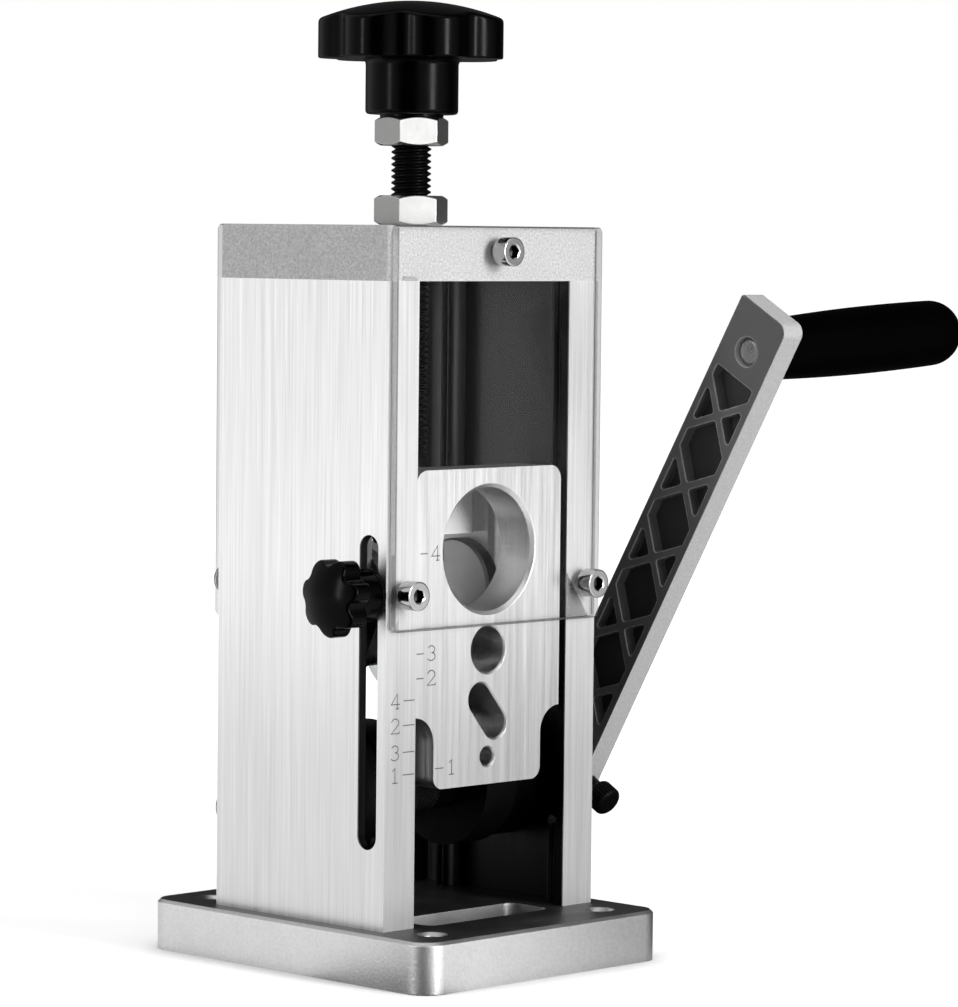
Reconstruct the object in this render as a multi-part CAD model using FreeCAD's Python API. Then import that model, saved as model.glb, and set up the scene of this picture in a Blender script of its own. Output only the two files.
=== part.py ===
import FreeCAD, Part
import math
import os

# Hand crank wire stripper.  Millimetres, +Z up, the front faces -Y.
# The origin is the centre of the base plate's underside.  The crank is on the +X side.

V = FreeCAD.Vector
X_AXIS, Y_AXIS, Z_AXIS = V(1, 0, 0), V(0, 1, 0), V(0, 0, 1)

# ---------------------------------------------------------------- fits
FIT = 0.02              # radial clearance of pieces fastened to each other
RUNNING = 0.06          # radial clearance of a shaft that turns in its hole
GAP = 0.3               # clearance between faces that pass each other
HOLE_CLEARANCE = 0.3    # radial clearance of a screw's through hole

# ---------------------------------------------------------------- base plate
BASE_W = 82.4
BASE_D = 98.2
BASE_T = 12.4
BASE_CORNER = 6.0
BASE_EDGE = 0.8
MOUNT_X = 29.0          # mounting holes stand at plus and minus this
MOUNT_Y = 39.0
MOUNT_R = 2.75
MOUNT_SINK = 0.9
POCKET_T = 3.2          # pocket in the top that the guide's tongue drops into
POCKET_CORNER = 3.0
POCKET_CLEARANCE = 1.4

# ---------------------------------------------------------------- tower
TOWER_W = 72.0
TOWER_D = 58.94
TOWER_H = 154.3
WALL = 2.5
POST_W = 10.15          # width of each channel's front and rear flanges
PORT_R = 3.1            # screw port, outside radius
PORT_SLOT = 1.8
PORT_REAR_Y = 15.4
SLOT_W = 6.4
SLOT_LOW = 31.5
SLOT_HIGH = 106.6
SLOT_SETBACK = 5.9      # slot centre behind the tower's front face
CAP_T = 13.2
CAP_CORNER = 1.0
CAP_EDGE = 0.5

# ---------------------------------------------------------------- screws
SCREW_R = 2.0
HEAD_R = 3.5
HEAD_H = 4.0
HEX_AF = 3.0
HEX_DEPTH = 2.0
BUTTON_R = 3.8
BUTTON_H = 2.3
WASHER_R = 4.6
WASHER_T = 1.0
PORT_SCREW_GRIP = 12.0
COUNTERBORE_R = 3.9
COUNTERBORE_T = 4.4

# ---------------------------------------------------------------- clear covers
COVER_T = 2.2
COVER_INSET = 0.8       # cover edge in from the tower's side faces
COVER_LOW = 83.7
COVER_CORNER = 1.5
COVER_SCREW_X = 31.0
COVER_SCREW_Z = 92.5
COVER_SCREW_BITE = 2.3
CAP_SCREW_DROP = 6.1    # top screw below the cap's upper face
CAP_SCREW_BITE = 8.0

# ---------------------------------------------------------------- feed shaft and its bracket
SHAFT_R = 5.0
SHAFT_Z = 42.6
SHAFT_LEFT = -23.5
SHAFT_FLAT = 0.6
SHAFT_FLAT_L = 9.0
BUSH_R = 7.0
BUSH_L = 12.0
BOSS_GAP = 24.0         # clear width between the bracket's two bosses
BOSS_R = 16.6
BOSS_L = 10.0
BOSS_ROOT_R = 15.6
BRACKET_ARM_T = 6.2
BRACKET_PLATE_T = 6.0
BRACKET_LOW = 30.0
BRACKET_HIGH = 46.4
BRACKET_SCREW_Z = 36.4
BRACKET_SCREW_BITE = 4.5
ROLLER_R = 8.5
ROLLER_RIM_W = 11.0
ROLLER_HUB_R = 7.4
ROLLER_CHAMFER = 0.6
ROLLER_SIDE_PLAY = 0.4
KEY_W = 3.0
KEY_L = 14.0

# ---------------------------------------------------------------- crank
ARM_FACE_X = 54.4       # inner face of the arm
ARM_T = 6.8
ARM_TILT = 30.1         # forward lean of the arm at rest, degrees
ARM_L = 123.95          # shaft to grip bolt
ARM_LOW_R = 9.0
ARM_END_HALF = 8.45
ARM_END_L = 11.7
ARM_FRONT_CORNER = 3.0
ARM_BACK_CORNER = 1.0
ARM_HUB_R = 8.8
ARM_HUB_L = 9.4
RIB_W = 1.8
RIB_DEPTH = 3.2
RIB_PITCH = 20.9
RIB_COUNT = 5
RIB_FIRST = 21.9        # lowest crossing above the shaft
RIB_FIELD_LOW = 14.5
RIB_FIELD_HIGH = 116.7
CELL_CORNER = 0.8
RECESS_R = 3.7
RECESS_T = 2.2
SHAFT_END_X = 60.7
GRIP_SPLAY = 4.0        # lean of the grip away from the shaft, degrees
GRIP_L = 70.7
GRIP_ROOT_R = 7.5
GRIP_MID_R = 8.5
GRIP_TAIL_R = 8.3
GRIP_STANDOFF = 0.4
BOLT_R = 3.1
BOLT_SUNK = 0.8         # bolt's end below the arm's face
BOLT_AXLE_R = 4.0
BOLT_AXLE_L = 55.0
BOLT_HEAD_R = 5.2
BOLT_HEAD_T = 2.4
THUMB_R = 2.5
THUMB_NECK = 12.2       # radius from the shaft's axis at which the head starts
THUMB_HEAD_R = 3.9
THUMB_HEAD_L = 5.5
THUMB_ROUND = 1.0

# ---------------------------------------------------------------- wire guide
GUIDE_SHIFT = -1.0      # the knob pulls the guide this far to the left
GUIDE_W = 49.6
GUIDE_T = 11.0
GUIDE_LOW = 45.0
GUIDE_HIGH = 121.7
GUIDE_CORNER = 3.5
TONGUE_HALF = 18.4
TONGUE_CORNER = 3.0
SHOULDER_Z = 62.7
SHOULDER_R = 6.5
BORE_4_Z = 102.0
BORE_4_R = 15.0
BORE_4_CHAMFER = 1.0
BORE_3_Z = 77.7
BORE_3_R = 5.6
BORE_2_Z = 62.8
BORE_2_R = 3.8
BORE_2_DX = 2.5         # half distance between the slanted slot's end centres
BORE_2_DZ = 3.0
BORE_1_Z = 51.7
BORE_1_R = 2.2
BORE_CHAMFER = 0.5
STUD_R = 3.0
STUD_Z = 92.3
STUD_BITE = 8.0
PIN_BITE = 8.0

# ---------------------------------------------------------------- guide knob
KNOB_WASHER_R = 6.3
KNOB_WASHER_T = 1.0
STAR_HUB_R = 6.3
STAR_HUB_L = 6.5
STAR_HEAD_L = 7.55
STAR_LOBES = 7
STAR_LOBE_AT = 7.1
STAR_LOBE_R = 2.4
STAR_VALLEY_R = 2.2
STAR_EDGE_L = 4.85      # straight part of the lobed head
STAR_BACK_EASE = 0.5
STAR_BORE_L = 10.5

# ---------------------------------------------------------------- spindle, nuts and top knob
SPINDLE_R = 4.9
NUT_AF = 16.0
LOCK_NUT_T = 7.3
LOCK_NUT_TURN = 27.5    # how the nut's flats happen to stand, degrees
THREAD_SHOWN = 12.2     # thread between the two nuts at rest
KNOB_NUT_T = 6.9
KNOB_COLLAR_R = 7.8
KNOB_COLLAR_H = 0.7
KNOB_HUB_R = 11.4
KNOB_HUB_H = 13.5
KNOB_EDGE_H = 10.4
KNOB_DOME_H = 4.4
KNOB_LOBES = 7
KNOB_LOBE_AT = 14.5
KNOB_LOBE_R = 8.6
KNOB_VALLEY_R = 5.0
KNOB_TURN = 38.0        # how the knob's lobes happen to stand, degrees
KNOB_BORE_L = 14.0

# ---------------------------------------------------------------- blade carriage
BRIDGE_LOW = 104.4
BRIDGE_H = 13.0
BRIDGE_BOSS_HALF = 14.0
BRIDGE_BOSS_D = 20.0
WING_D = 14.0
LUG_LOW = 86.5
LUG_T = 7.0
LUG_D = 16.0
CHEEK_X = 16.0          # inner face of each blade cheek
CHEEK_T = 4.0
CHEEK_TOP_Z = 90.4
CHEEK_TOP_R = 12.0
CHEEK_LOW_R = 7.0
CHEEK_EDGE = 0.6
CHEEK_SCREW_Y = 4.5
CHEEK_SCREW_RISE = 5.0
CHEEK_SCREW_BITE = 2.5
BLADE_R = 15.0
BLADE_T = 1.6
BLADE_BEVEL = 2.2
BLADE_AXLE_R = 4.0
BLADE_FLOOR = 0.5       # blade edge above the feed roller with the spindle right down
SPACER_R = 6.5
CLIP_R = 5.8
CLIP_T = 1.0
RING_R = 7.5
RING_T = 1.2
END_WASHER_R = 9.0
END_WASHER_T = 1.2
END_NUT_T = 6.0

# ---------------------------------------------------------------- places worked out from the sizes
TOWER_TOP = BASE_T + TOWER_H
CAP_TOP = TOWER_TOP + CAP_T
HALF_W = TOWER_W / 2
HALF_D = TOWER_D / 2
WEB_IN = HALF_W - WALL
FLANGE_IN = HALF_D - WALL
WINDOW_HALF = HALF_W - POST_W
PORT_X = WEB_IN - PORT_R + 0.3
SLOT_Y = -HALF_D + SLOT_SETBACK
PORTS = [(PORT_X, SLOT_Y), (PORT_X, PORT_REAR_Y)]
COVER_FACE = HALF_D + COVER_T
COVER_HALF = HALF_W - COVER_INSET
CAP_SCREW_Z = CAP_TOP - CAP_SCREW_DROP
GUIDE_FRONT = -HALF_D + GAP
GUIDE_BACK = GUIDE_FRONT + GUIDE_T
BLADE_X = GUIDE_SHIFT
ROLLER_TOP = SHAFT_Z + ROLLER_R
AXLE_Z = ROLLER_TOP + BLADE_FLOOR + THREAD_SHOWN + BLADE_R
BOSS_IN = BOSS_GAP / 2
BRACKET_SIDE = WEB_IN - GAP
BRIDGE_TOP = BRIDGE_LOW + BRIDGE_H
KNOB_NUT_LOW = CAP_TOP + LOCK_NUT_T + THREAD_SHOWN
KNOB_LOW = KNOB_NUT_LOW + KNOB_NUT_T
KNOB_RIM_LOW = KNOB_LOW + KNOB_COLLAR_H + KNOB_HUB_H
SPINDLE_LOW = BRIDGE_LOW - GAP - END_WASHER_T - END_NUT_T - 0.8


# ================================================================ shape helpers
def block(x0, x1, y0, y1, z0, z1):
    """A box between two corners."""
    return Part.makeBox(x1 - x0, y1 - y0, z1 - z0, V(x0, y0, z0))


def rod(radius, start, end):
    """A cylinder from start to end."""
    along = end.sub(start)
    return Part.makeCylinder(radius, along.Length, start, along)


def outline(points):
    """A closed wire in the XZ plane.  A point (a, b) ends a line; (a, b, am, bm) ends an arc
    that passes through (am, bm)."""
    edges = []
    last = V(points[-1][0], 0, points[-1][1])
    for point in points:
        here = V(point[0], 0, point[1])
        if here.distanceToPoint(last) > 1e-6:
            if len(point) == 4:
                edges.append(Part.Arc(last, V(point[2], 0, point[3]), here).toShape())
            else:
                edges.append(Part.LineSegment(last, here).toShape())
        last = here
    return Part.Wire(edges)


def aim(shape, origin, axis):
    """Turns a shape made about +Z so that +Z points along axis, and moves it to origin."""
    placed = shape.copy()
    placed.Placement = FreeCAD.Placement(origin, FreeCAD.Rotation(Z_AXIS, axis))
    return placed


def turned(profile, origin=V(0, 0, 0), axis=Z_AXIS):
    """A solid of revolution of a (radius, height) profile, stood on origin along axis."""
    solid = Part.Face(outline(profile)).revolve(V(0, 0, 0), Z_AXIS, 360)
    return aim(solid, origin, axis)


def plate(points, y0, y1):
    """An XZ outline given thickness from y0 to y1."""
    face = Part.Face(outline(points))
    face.translate(V(0, y0, 0))
    return face.extrude(V(0, y1 - y0, 0))


def rounded_bar(half_w, half_d, corner, z0, z1, cx=0.0, cy=0.0):
    """An upright bar of rounded rectangular section."""
    bar = block(cx - half_w, cx + half_w, cy - half_d, cy + half_d, z0, z1)
    upright = [e for e in bar.Edges if abs(e.tangentAt(e.FirstParameter).z) > 0.99]
    return bar.makeFillet(corner, upright)


def obround(radius, a, b):
    """XZ outline of a slot: half circles of a radius about the centres a and b."""
    run = V(b[0] - a[0], 0, b[1] - a[1])
    run.normalize()
    side = V(-run.z, 0, run.x) * radius
    nose = run * radius
    return [
        (a[0] + side.x, a[1] + side.z),
        (b[0] + side.x, b[1] + side.z),
        (b[0] - side.x, b[1] - side.z, b[0] + nose.x, b[1] + nose.z),
        (a[0] - side.x, a[1] - side.z),
        (a[0] + side.x, a[1] + side.z, a[0] - nose.x, a[1] - nose.z),
    ]


def mirrored(shape):
    """The shape's mirror image on the other side of the YZ plane."""
    return shape.mirror(V(0, 0, 0), X_AXIS)


def fuse(shapes):
    """One solid from several that overlap or touch."""
    whole = shapes[0].multiFuse(list(shapes[1:])) if len(shapes) > 1 else shapes[0]
    return whole.removeSplitter()


def save(node, *solids):
    """Writes one node of one or more solids to its STEP file."""
    shape = solids[0] if len(solids) == 1 else Part.makeCompound(list(solids))
    for solid in shape.Solids:
        if not solid.isValid() or solid.Volume <= 0:
            raise ValueError(f"{node} has a bad solid")
    shape.exportStep(f"parts/{node}.step")
    print(f"{node}: {len(shape.Solids)} solids, {sum(s.Volume for s in shape.Solids):.0f} mm3")


def hexagon(across_flats, height):
    """An upright hexagonal prism on the origin."""
    radius = across_flats / math.sqrt(3)
    corners = [V(radius * math.cos(math.radians(a)), radius * math.sin(math.radians(a)), 0)
               for a in range(0, 361, 60)]
    return Part.Face(Part.makePolygon(corners)).extrude(V(0, 0, height))


def hex_nut(across_flats, height, bore, turn=0.0):
    """A hexagonal nut on the origin, its corners chamfered at both ends."""
    point = across_flats / math.sqrt(3)
    flat = across_flats / 2 - 0.3
    drop = (point - flat) * math.tan(math.radians(30))
    barrel = turned([(0, 0), (flat, 0), (point, drop), (point, height - drop), (flat, height),
                     (0, height)])
    nut = hexagon(across_flats, height).common(barrel)
    nut = nut.cut(Part.makeCylinder(bore, height))
    nut.rotate(V(0, 0, 0), Z_AXIS, turn)
    return nut


def hex_socket(height):
    """The cutter for a hexagonal socket, its mouth at the given height."""
    socket = hexagon(HEX_AF, HEX_DEPTH)
    socket.translate(V(0, 0, height - HEX_DEPTH))
    return socket


def socket_screw(seat, outward, grip):
    """A cylinder head screw whose head sits on seat and points outward."""
    edge = 0.4
    head = turned([(0, 0), (HEAD_R, 0), (HEAD_R, HEAD_H - edge), (HEAD_R - edge, HEAD_H),
                   (0, HEAD_H)])
    screw = fuse([head, Part.makeCylinder(SCREW_R, grip, V(0, 0, -grip))])
    return aim(screw.cut(hex_socket(HEAD_H)), seat, outward)


def button_screw(seat, outward, grip):
    """A domed head screw whose head sits on seat and points outward."""
    crown = BUTTON_R * 0.55
    head = turned([(0, 0), (BUTTON_R, 0), (BUTTON_R, 0.3),
                   (crown, BUTTON_H, BUTTON_R * 0.86, BUTTON_H * 0.68), (0, BUTTON_H)])
    screw = fuse([head, Part.makeCylinder(SCREW_R, grip, V(0, 0, -grip))])
    socket = hexagon(HEX_AF * 0.85, HEX_DEPTH * 0.65)
    socket.translate(V(0, 0, BUTTON_H - HEX_DEPTH * 0.65))
    return aim(screw.cut(socket), seat, outward)


def ring(outer, inner, height, origin, axis):
    """A flat ring stood on origin along axis."""
    return aim(Part.makeCylinder(outer, height).cut(Part.makeCylinder(inner, height)), origin, axis)


def lobed_prism(lobes, lobe_at, lobe_r, valley_r, height):
    """A prism whose rim waves in tangent arcs: lobes of lobe_r, centred lobe_at from the axis,
    joined by hollows of valley_r."""
    half = math.pi / lobes
    valley_at = lobe_at * math.cos(half) + math.sqrt(
        (lobe_r + valley_r) ** 2 - (lobe_at * math.sin(half)) ** 2)
    share = lobe_r / (lobe_r + valley_r)

    def at(radius, angle):
        return V(radius * math.cos(angle), radius * math.sin(angle), 0)

    edges = []
    for i in range(lobes):
        lobe, before, after = 2 * half * i, 2 * half * i - half, 2 * half * i + half
        centre = at(lobe_at, lobe)
        start = centre + (at(valley_at, before) - centre) * share
        end = centre + (at(valley_at, after) - centre) * share
        following = at(lobe_at, lobe + 2 * half)
        landing = following + (at(valley_at, after) - following) * share
        edges.append(Part.Arc(start, at(lobe_at + lobe_r, lobe), end).toShape())
        edges.append(Part.Arc(end, at(valley_at - valley_r, after), landing).toShape())
    return Part.Face(Part.Wire(edges)).extrude(V(0, 0, height))


def domed_blank(foot, outer, edge, top):
    """A knob's blank, turned from the points of its foot up to a ball-shaped dome that reaches
    outer at the height edge. It stands 1 mm wider than outer, so that lobes make the rim."""
    rise = top - edge
    ball = (outer ** 2 + rise ** 2) / (2 * rise)

    def dome(radius):
        return top - ball + math.sqrt(ball ** 2 - radius ** 2)

    wide = outer + 1
    return turned([*foot, (wide, dome(wide)), (0, top, wide / 2, dome(wide / 2))])


def on_crank(shape):
    """Moves a shape from the crank's frame (shaft at the origin, arm upright) to its rest pose."""
    placed = shape.copy()
    placed.rotate(V(0, 0, 0), X_AXIS, ARM_TILT)
    placed.translate(V(0, 0, SHAFT_Z))
    return placed


# ================================================================ base plate and tower
def base_plate():
    """Flat plate with mounting holes, the tongue pocket and counterbores for the tower screws."""
    body = rounded_bar(BASE_W / 2, BASE_D / 2, BASE_CORNER, 0, BASE_T)
    rims = [e for e in body.Edges if abs(e.CenterOfMass.z - BASE_T) < 0.01]
    body = body.makeChamfer(BASE_EDGE, rims)
    front = -HALF_D - POCKET_CLEARANCE / 2
    back = GUIDE_BACK + POCKET_CLEARANCE
    half_w = TONGUE_HALF - GUIDE_SHIFT + POCKET_CLEARANCE
    pocket = rounded_bar(half_w, (back - front) / 2, POCKET_CORNER, BASE_T - POCKET_T,
                         BASE_T + 1, 0, (front + back) / 2)
    body = body.cut(pocket)
    for sx in (-1, 1):
        for sy in (-1, 1):
            hole = turned([(0, 0), (MOUNT_R, 0), (MOUNT_R, BASE_T - MOUNT_SINK),
                           (MOUNT_R + MOUNT_SINK, BASE_T), (0, BASE_T)],
                          V(sx * MOUNT_X, sy * MOUNT_Y, 0))
            body = body.cut(hole)
        for x, y in PORTS:
            body = body.cut(Part.makeCylinder(SCREW_R + HOLE_CLEARANCE, BASE_T, V(sx * x, y, 0)))
            body = body.cut(Part.makeCylinder(COUNTERBORE_R, COUNTERBORE_T, V(sx * x, y, 0)))
    return body


def channel():
    """The right-hand extrusion: web, two flanges and two open screw ports, then the guide slot
    and the flange holes."""
    z0, z1 = BASE_T, TOWER_TOP
    shell = block(WINDOW_HALF, HALF_W, -HALF_D, HALF_D, z0, z1)
    shell = shell.cut(block(WINDOW_HALF - 1, WEB_IN, -FLANGE_IN, FLANGE_IN, z0, z1))
    for x, y in PORTS:
        shell = fuse([shell, Part.makeCylinder(PORT_R, z1 - z0, V(x, y, z0))])
        shell = shell.cut(Part.makeCylinder(SCREW_R + FIT, z1 - z0, V(x, y, z0)))
        mouth = block(x - PORT_R - 1, x, y - PORT_SLOT / 2, y + PORT_SLOT / 2, z0, z1)
        shell = shell.cut(mouth)
    slot_r = SLOT_W / 2
    slot = plate(obround(slot_r, (0, SLOT_LOW + slot_r), (0, SLOT_HIGH - slot_r)), -HALF_W, -WINDOW_HALF)
    slot.rotate(V(0, 0, 0), Z_AXIS, 90)
    slot.translate(V(0, SLOT_Y, 0))
    shell = shell.cut(slot)
    tapped = SCREW_R + FIT
    for side in (-1, 1):
        shell = shell.cut(rod(tapped, V(COVER_SCREW_X, side * FLANGE_IN, COVER_SCREW_Z),
                              V(COVER_SCREW_X, side * HALF_D, COVER_SCREW_Z)))
    return shell.cut(rod(SCREW_R + HOLE_CLEARANCE, V(COVER_SCREW_X, FLANGE_IN, BRACKET_SCREW_Z),
                         V(COVER_SCREW_X, HALF_D, BRACKET_SCREW_Z)))


def right_channel():
    """The crank-side channel, bored for the feed shaft."""
    bore = rod(SHAFT_R + 2 * HOLE_CLEARANCE, V(WEB_IN - 1, 0, SHAFT_Z), V(HALF_W + 1, 0, SHAFT_Z))
    return channel().cut(bore)


def top_cap():
    """Cast cap with the spindle bore, recessed screws into the ports and tapped cover holes."""
    body = rounded_bar(HALF_W, HALF_D, CAP_CORNER, TOWER_TOP, CAP_TOP)
    rim = [e for e in body.Edges if abs(e.CenterOfMass.z - CAP_TOP) < 0.01]
    body = body.makeChamfer(CAP_EDGE, rim)
    body = body.cut(Part.makeCylinder(SPINDLE_R + RUNNING, CAP_T, V(0, 0, TOWER_TOP)))
    for sx in (-1, 1):
        for x, y in PORTS:
            body = body.cut(Part.makeCylinder(SCREW_R + HOLE_CLEARANCE, CAP_T, V(sx * x, y, TOWER_TOP)))
            body = body.cut(Part.makeCylinder(COUNTERBORE_R, COUNTERBORE_T,
                                              V(sx * x, y, CAP_TOP - COUNTERBORE_T)))
    for sy in (-1, 1):
        body = body.cut(rod(SCREW_R + FIT, V(0, sy * HALF_D, CAP_SCREW_Z),
                            V(0, sy * (HALF_D - CAP_SCREW_BITE - 1), CAP_SCREW_Z)))
    return body


def cover(side):
    """A clear cover on the front (side -1) or rear (side 1)."""
    y0, y1 = sorted((side * HALF_D, side * COVER_FACE))
    r = COVER_CORNER
    k = r * (1 - math.sqrt(0.5))
    w, low, high = COVER_HALF, COVER_LOW, CAP_TOP
    sheet = plate([
        (w - r, low), (w, low + r, w - k, low + k),
        (w, high - r), (w - r, high, w - k, high - k),
        (-w + r, high), (-w, high - r, -w + k, high - k),
        (-w, low + r), (-w + r, low, -w + k, low + k),
    ], y0, y1)
    for x, z in cover_holes():
        sheet = sheet.cut(rod(SCREW_R + HOLE_CLEARANCE, V(x, y0, z), V(x, y1, z)))
    return sheet


def cover_holes():
    """Places of a cover's three screws, as (x, z)."""
    return [(0, CAP_SCREW_Z), (-COVER_SCREW_X, COVER_SCREW_Z), (COVER_SCREW_X, COVER_SCREW_Z)]


def cover_screws(side, make):
    """A cover's three screws: the top one bites into the cap, the lower two into the flanges."""
    screws = []
    for x, z in cover_holes():
        bite = CAP_SCREW_BITE if x == 0 else COVER_SCREW_BITE
        screws.append(make(V(x, side * COVER_FACE, z), V(0, side, 0), COVER_T + bite))
    return screws


def port_screws(seat_z, up):
    """Four screws into the ends of the channels' screw ports; up is the heads' direction."""
    length = (BASE_T if up < 0 else CAP_T) - COUNTERBORE_T + PORT_SCREW_GRIP
    return [socket_screw(V(sx * x, y, seat_z), V(0, 0, up), length)
            for sx in (-1, 1) for x, y in PORTS]


# ================================================================ feed shaft, bracket and roller
def roller_bracket():
    """Cast yoke behind the roller: a plate against the rear flanges and an arm with a long boss
    on each side, bored for the bushes."""
    back_y = FLANGE_IN
    whole = [block(-BRACKET_SIDE, BRACKET_SIDE, back_y - BRACKET_PLATE_T, back_y,
                   BRACKET_LOW, BRACKET_HIGH)]
    for side in (-1, 1):
        step = side * (BOSS_IN + BOSS_L)
        end = side * BRACKET_SIDE
        whole.append(rod(BOSS_R, V(side * BOSS_IN, 0, SHAFT_Z), V(step, 0, SHAFT_Z)))
        whole.append(rod(BOSS_ROOT_R, V(step, 0, SHAFT_Z), V(end, 0, SHAFT_Z)))
        lean = BOSS_ROOT_R * 0.3
        arm = Part.Face(Part.makePolygon([
            V(step, lean, SHAFT_Z - BOSS_ROOT_R + 1), V(step, back_y - 1, BRACKET_LOW),
            V(step, back_y - 1, BRACKET_HIGH), V(step, lean, SHAFT_Z + BOSS_ROOT_R - 1),
            V(step, lean, SHAFT_Z - BOSS_ROOT_R + 1)]))
        whole.append(arm.extrude(V(side * BRACKET_ARM_T, 0, 0)))
    body = fuse(whole)
    for side in (-1, 1):
        port_room = PORT_R + GAP
        body = body.cut(block(*sorted((side * (PORT_X - port_room), side * (BRACKET_SIDE + 1))),
                              PORT_REAR_Y - port_room, PORT_REAR_Y + port_room, 0, TOWER_TOP))
        bush_end = side * (BOSS_IN + BUSH_L)
        body = body.cut(rod(BUSH_R + FIT, V(side * BOSS_IN, 0, SHAFT_Z), V(bush_end, 0, SHAFT_Z)))
        body = body.cut(rod(SCREW_R + FIT, V(side * COVER_SCREW_X, back_y, BRACKET_SCREW_Z),
                            V(side * COVER_SCREW_X, back_y - BRACKET_SCREW_BITE - 0.5, BRACKET_SCREW_Z)))
    return body.cut(rod(SHAFT_R + HOLE_CLEARANCE, V(BOSS_IN, 0, SHAFT_Z),
                        V(BRACKET_SIDE, 0, SHAFT_Z)))


def bush(side):
    """Plain bearing bush, flush with the boss's inner face."""
    return ring(BUSH_R, SHAFT_R + RUNNING, BUSH_L, V(side * BOSS_IN, 0, SHAFT_Z), V(side, 0, 0))


def key_block(clearance):
    """The parallel key between shaft and roller, or the room that it needs."""
    half = KEY_W / 2 + clearance
    return block(BLADE_X - KEY_L / 2 - clearance, BLADE_X + KEY_L / 2 + clearance, -half, half,
                 SHAFT_Z + SHAFT_R - half, SHAFT_Z + SHAFT_R + half)


def drive_shaft():
    """Round shaft with a keyway under the roller and a flat under the thumb screw."""
    shaft = rod(SHAFT_R, V(SHAFT_LEFT, 0, SHAFT_Z), V(SHAFT_END_X, 0, SHAFT_Z))
    flat = on_crank(block(SHAFT_END_X - SHAFT_FLAT_L, SHAFT_END_X, -SHAFT_R - 1,
                          -SHAFT_R + SHAFT_FLAT, -SHAFT_R, SHAFT_R))
    return shaft.cut(flat).cut(key_block(FIT))


def feed_roller():
    """Roller with a raised rim that grips the wire; the rim stands under the guide's holes."""
    left = -BOSS_IN + ROLLER_SIDE_PLAY
    right = BOSS_IN - ROLLER_SIDE_PLAY
    rim0 = BLADE_X - ROLLER_RIM_W / 2 - left
    rim1 = rim0 + ROLLER_RIM_W
    c = ROLLER_CHAMFER
    bore = SHAFT_R + FIT
    roller = turned([(bore, 0), (ROLLER_HUB_R, 0), (ROLLER_HUB_R, rim0), (ROLLER_R - c, rim0),
                     (ROLLER_R, rim0 + c), (ROLLER_R, rim1 - c), (ROLLER_R - c, rim1),
                     (ROLLER_HUB_R, rim1), (ROLLER_HUB_R, right - left), (bore, right - left)],
                    V(left, 0, SHAFT_Z), X_AXIS)
    return roller.cut(key_block(FIT))


# ================================================================ crank
def arm_half(along):
    """Half width of the tapering arm at a distance along it from the shaft."""
    return ARM_LOW_R + (ARM_END_HALF - ARM_LOW_R) * along / (ARM_L + ARM_END_L)


def crank_bar(points, x0, x1):
    """A (across, along) outline in the crank's frame, extruded in X."""
    bar = plate(points, -x1, -x0)
    bar.rotate(V(0, 0, 0), Z_AXIS, 90)
    return bar


def rib_field():
    """Cutter for the arm's cells: the recessed field less its crossed ribs, each cell with
    rounded corners."""
    low, high = RIB_FIELD_LOW, RIB_FIELD_HIGH
    low_half, high_half = arm_half(low) - RIB_W, arm_half(high) - RIB_W
    x0, x1 = ARM_FACE_X - 1, ARM_FACE_X + RIB_DEPTH
    field = crank_bar([(-low_half, low), (low_half, low), (high_half, high), (-high_half, high)],
                      x0, x1)
    reach = 2 * ARM_LOW_R
    for i in range(RIB_COUNT):
        centre = RIB_FIRST + i * RIB_PITCH
        for angle in (-45, 45):
            rib = block(x0, x1, -reach, reach, -RIB_W / 2, RIB_W / 2)
            rib.rotate(V(0, 0, 0), X_AXIS, angle)
            rib = rib.common(block(x0, x1, -reach, reach, -ARM_LOW_R, ARM_LOW_R))
            rib.translate(V(0, 0, centre))
            field = field.cut(rib)
    cells = []
    for cell in field.Solids:
        upright = [e for e in cell.Edges if abs(e.tangentAt(e.FirstParameter).x) > 0.99]
        cells.append(cell.makeFillet(CELL_CORNER, upright))
    return Part.makeCompound(cells)


def grip_axis():
    """Direction of the grip's axis in the crank's frame."""
    splay = math.radians(GRIP_SPLAY)
    return V(math.cos(splay), 0, math.sin(splay))


def crank_arm():
    """Cast arm: tapered bar with a round foot, a hub on the shaft, and crossed ribs inside."""
    end = ARM_L + ARM_END_L
    half, front, back = ARM_END_HALF, ARM_FRONT_CORNER, ARM_BACK_CORNER
    kf, kb = (r * (1 - math.sqrt(0.5)) for r in (front, back))
    x0, x1 = ARM_FACE_X, ARM_FACE_X + ARM_T
    body = crank_bar([(-ARM_LOW_R, 0), (ARM_LOW_R, 0, 0, -ARM_LOW_R), (half, end - back),
                      (half - back, end, half - kb, end - kb), (-half + front, end),
                      (-half, end - front, -half + kf, end - kf)], x0, x1)
    body = body.cut(rib_field())
    hub = rod(ARM_HUB_R, V(x0 - ARM_HUB_L, 0, 0), V(x0 + 1, 0, 0))
    body = fuse([body, hub])
    body = body.cut(rod(SHAFT_R + FIT, V(x0 - ARM_HUB_L, 0, 0), V(x1, 0, 0)))
    body = body.cut(rod(THUMB_R + RUNNING, V((x0 + x1) / 2, 0, 0), V((x0 + x1) / 2, -2 * ARM_LOW_R, 0)))
    centre = V(x0, 0, ARM_L)
    axis = grip_axis()
    body = body.cut(rod(RECESS_R, centre - axis * 2, centre + axis * RECESS_T))
    body = body.cut(rod(BOLT_R + FIT, centre - axis * 2, centre + axis * (ARM_T + 2)))
    return on_crank(body)


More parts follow.
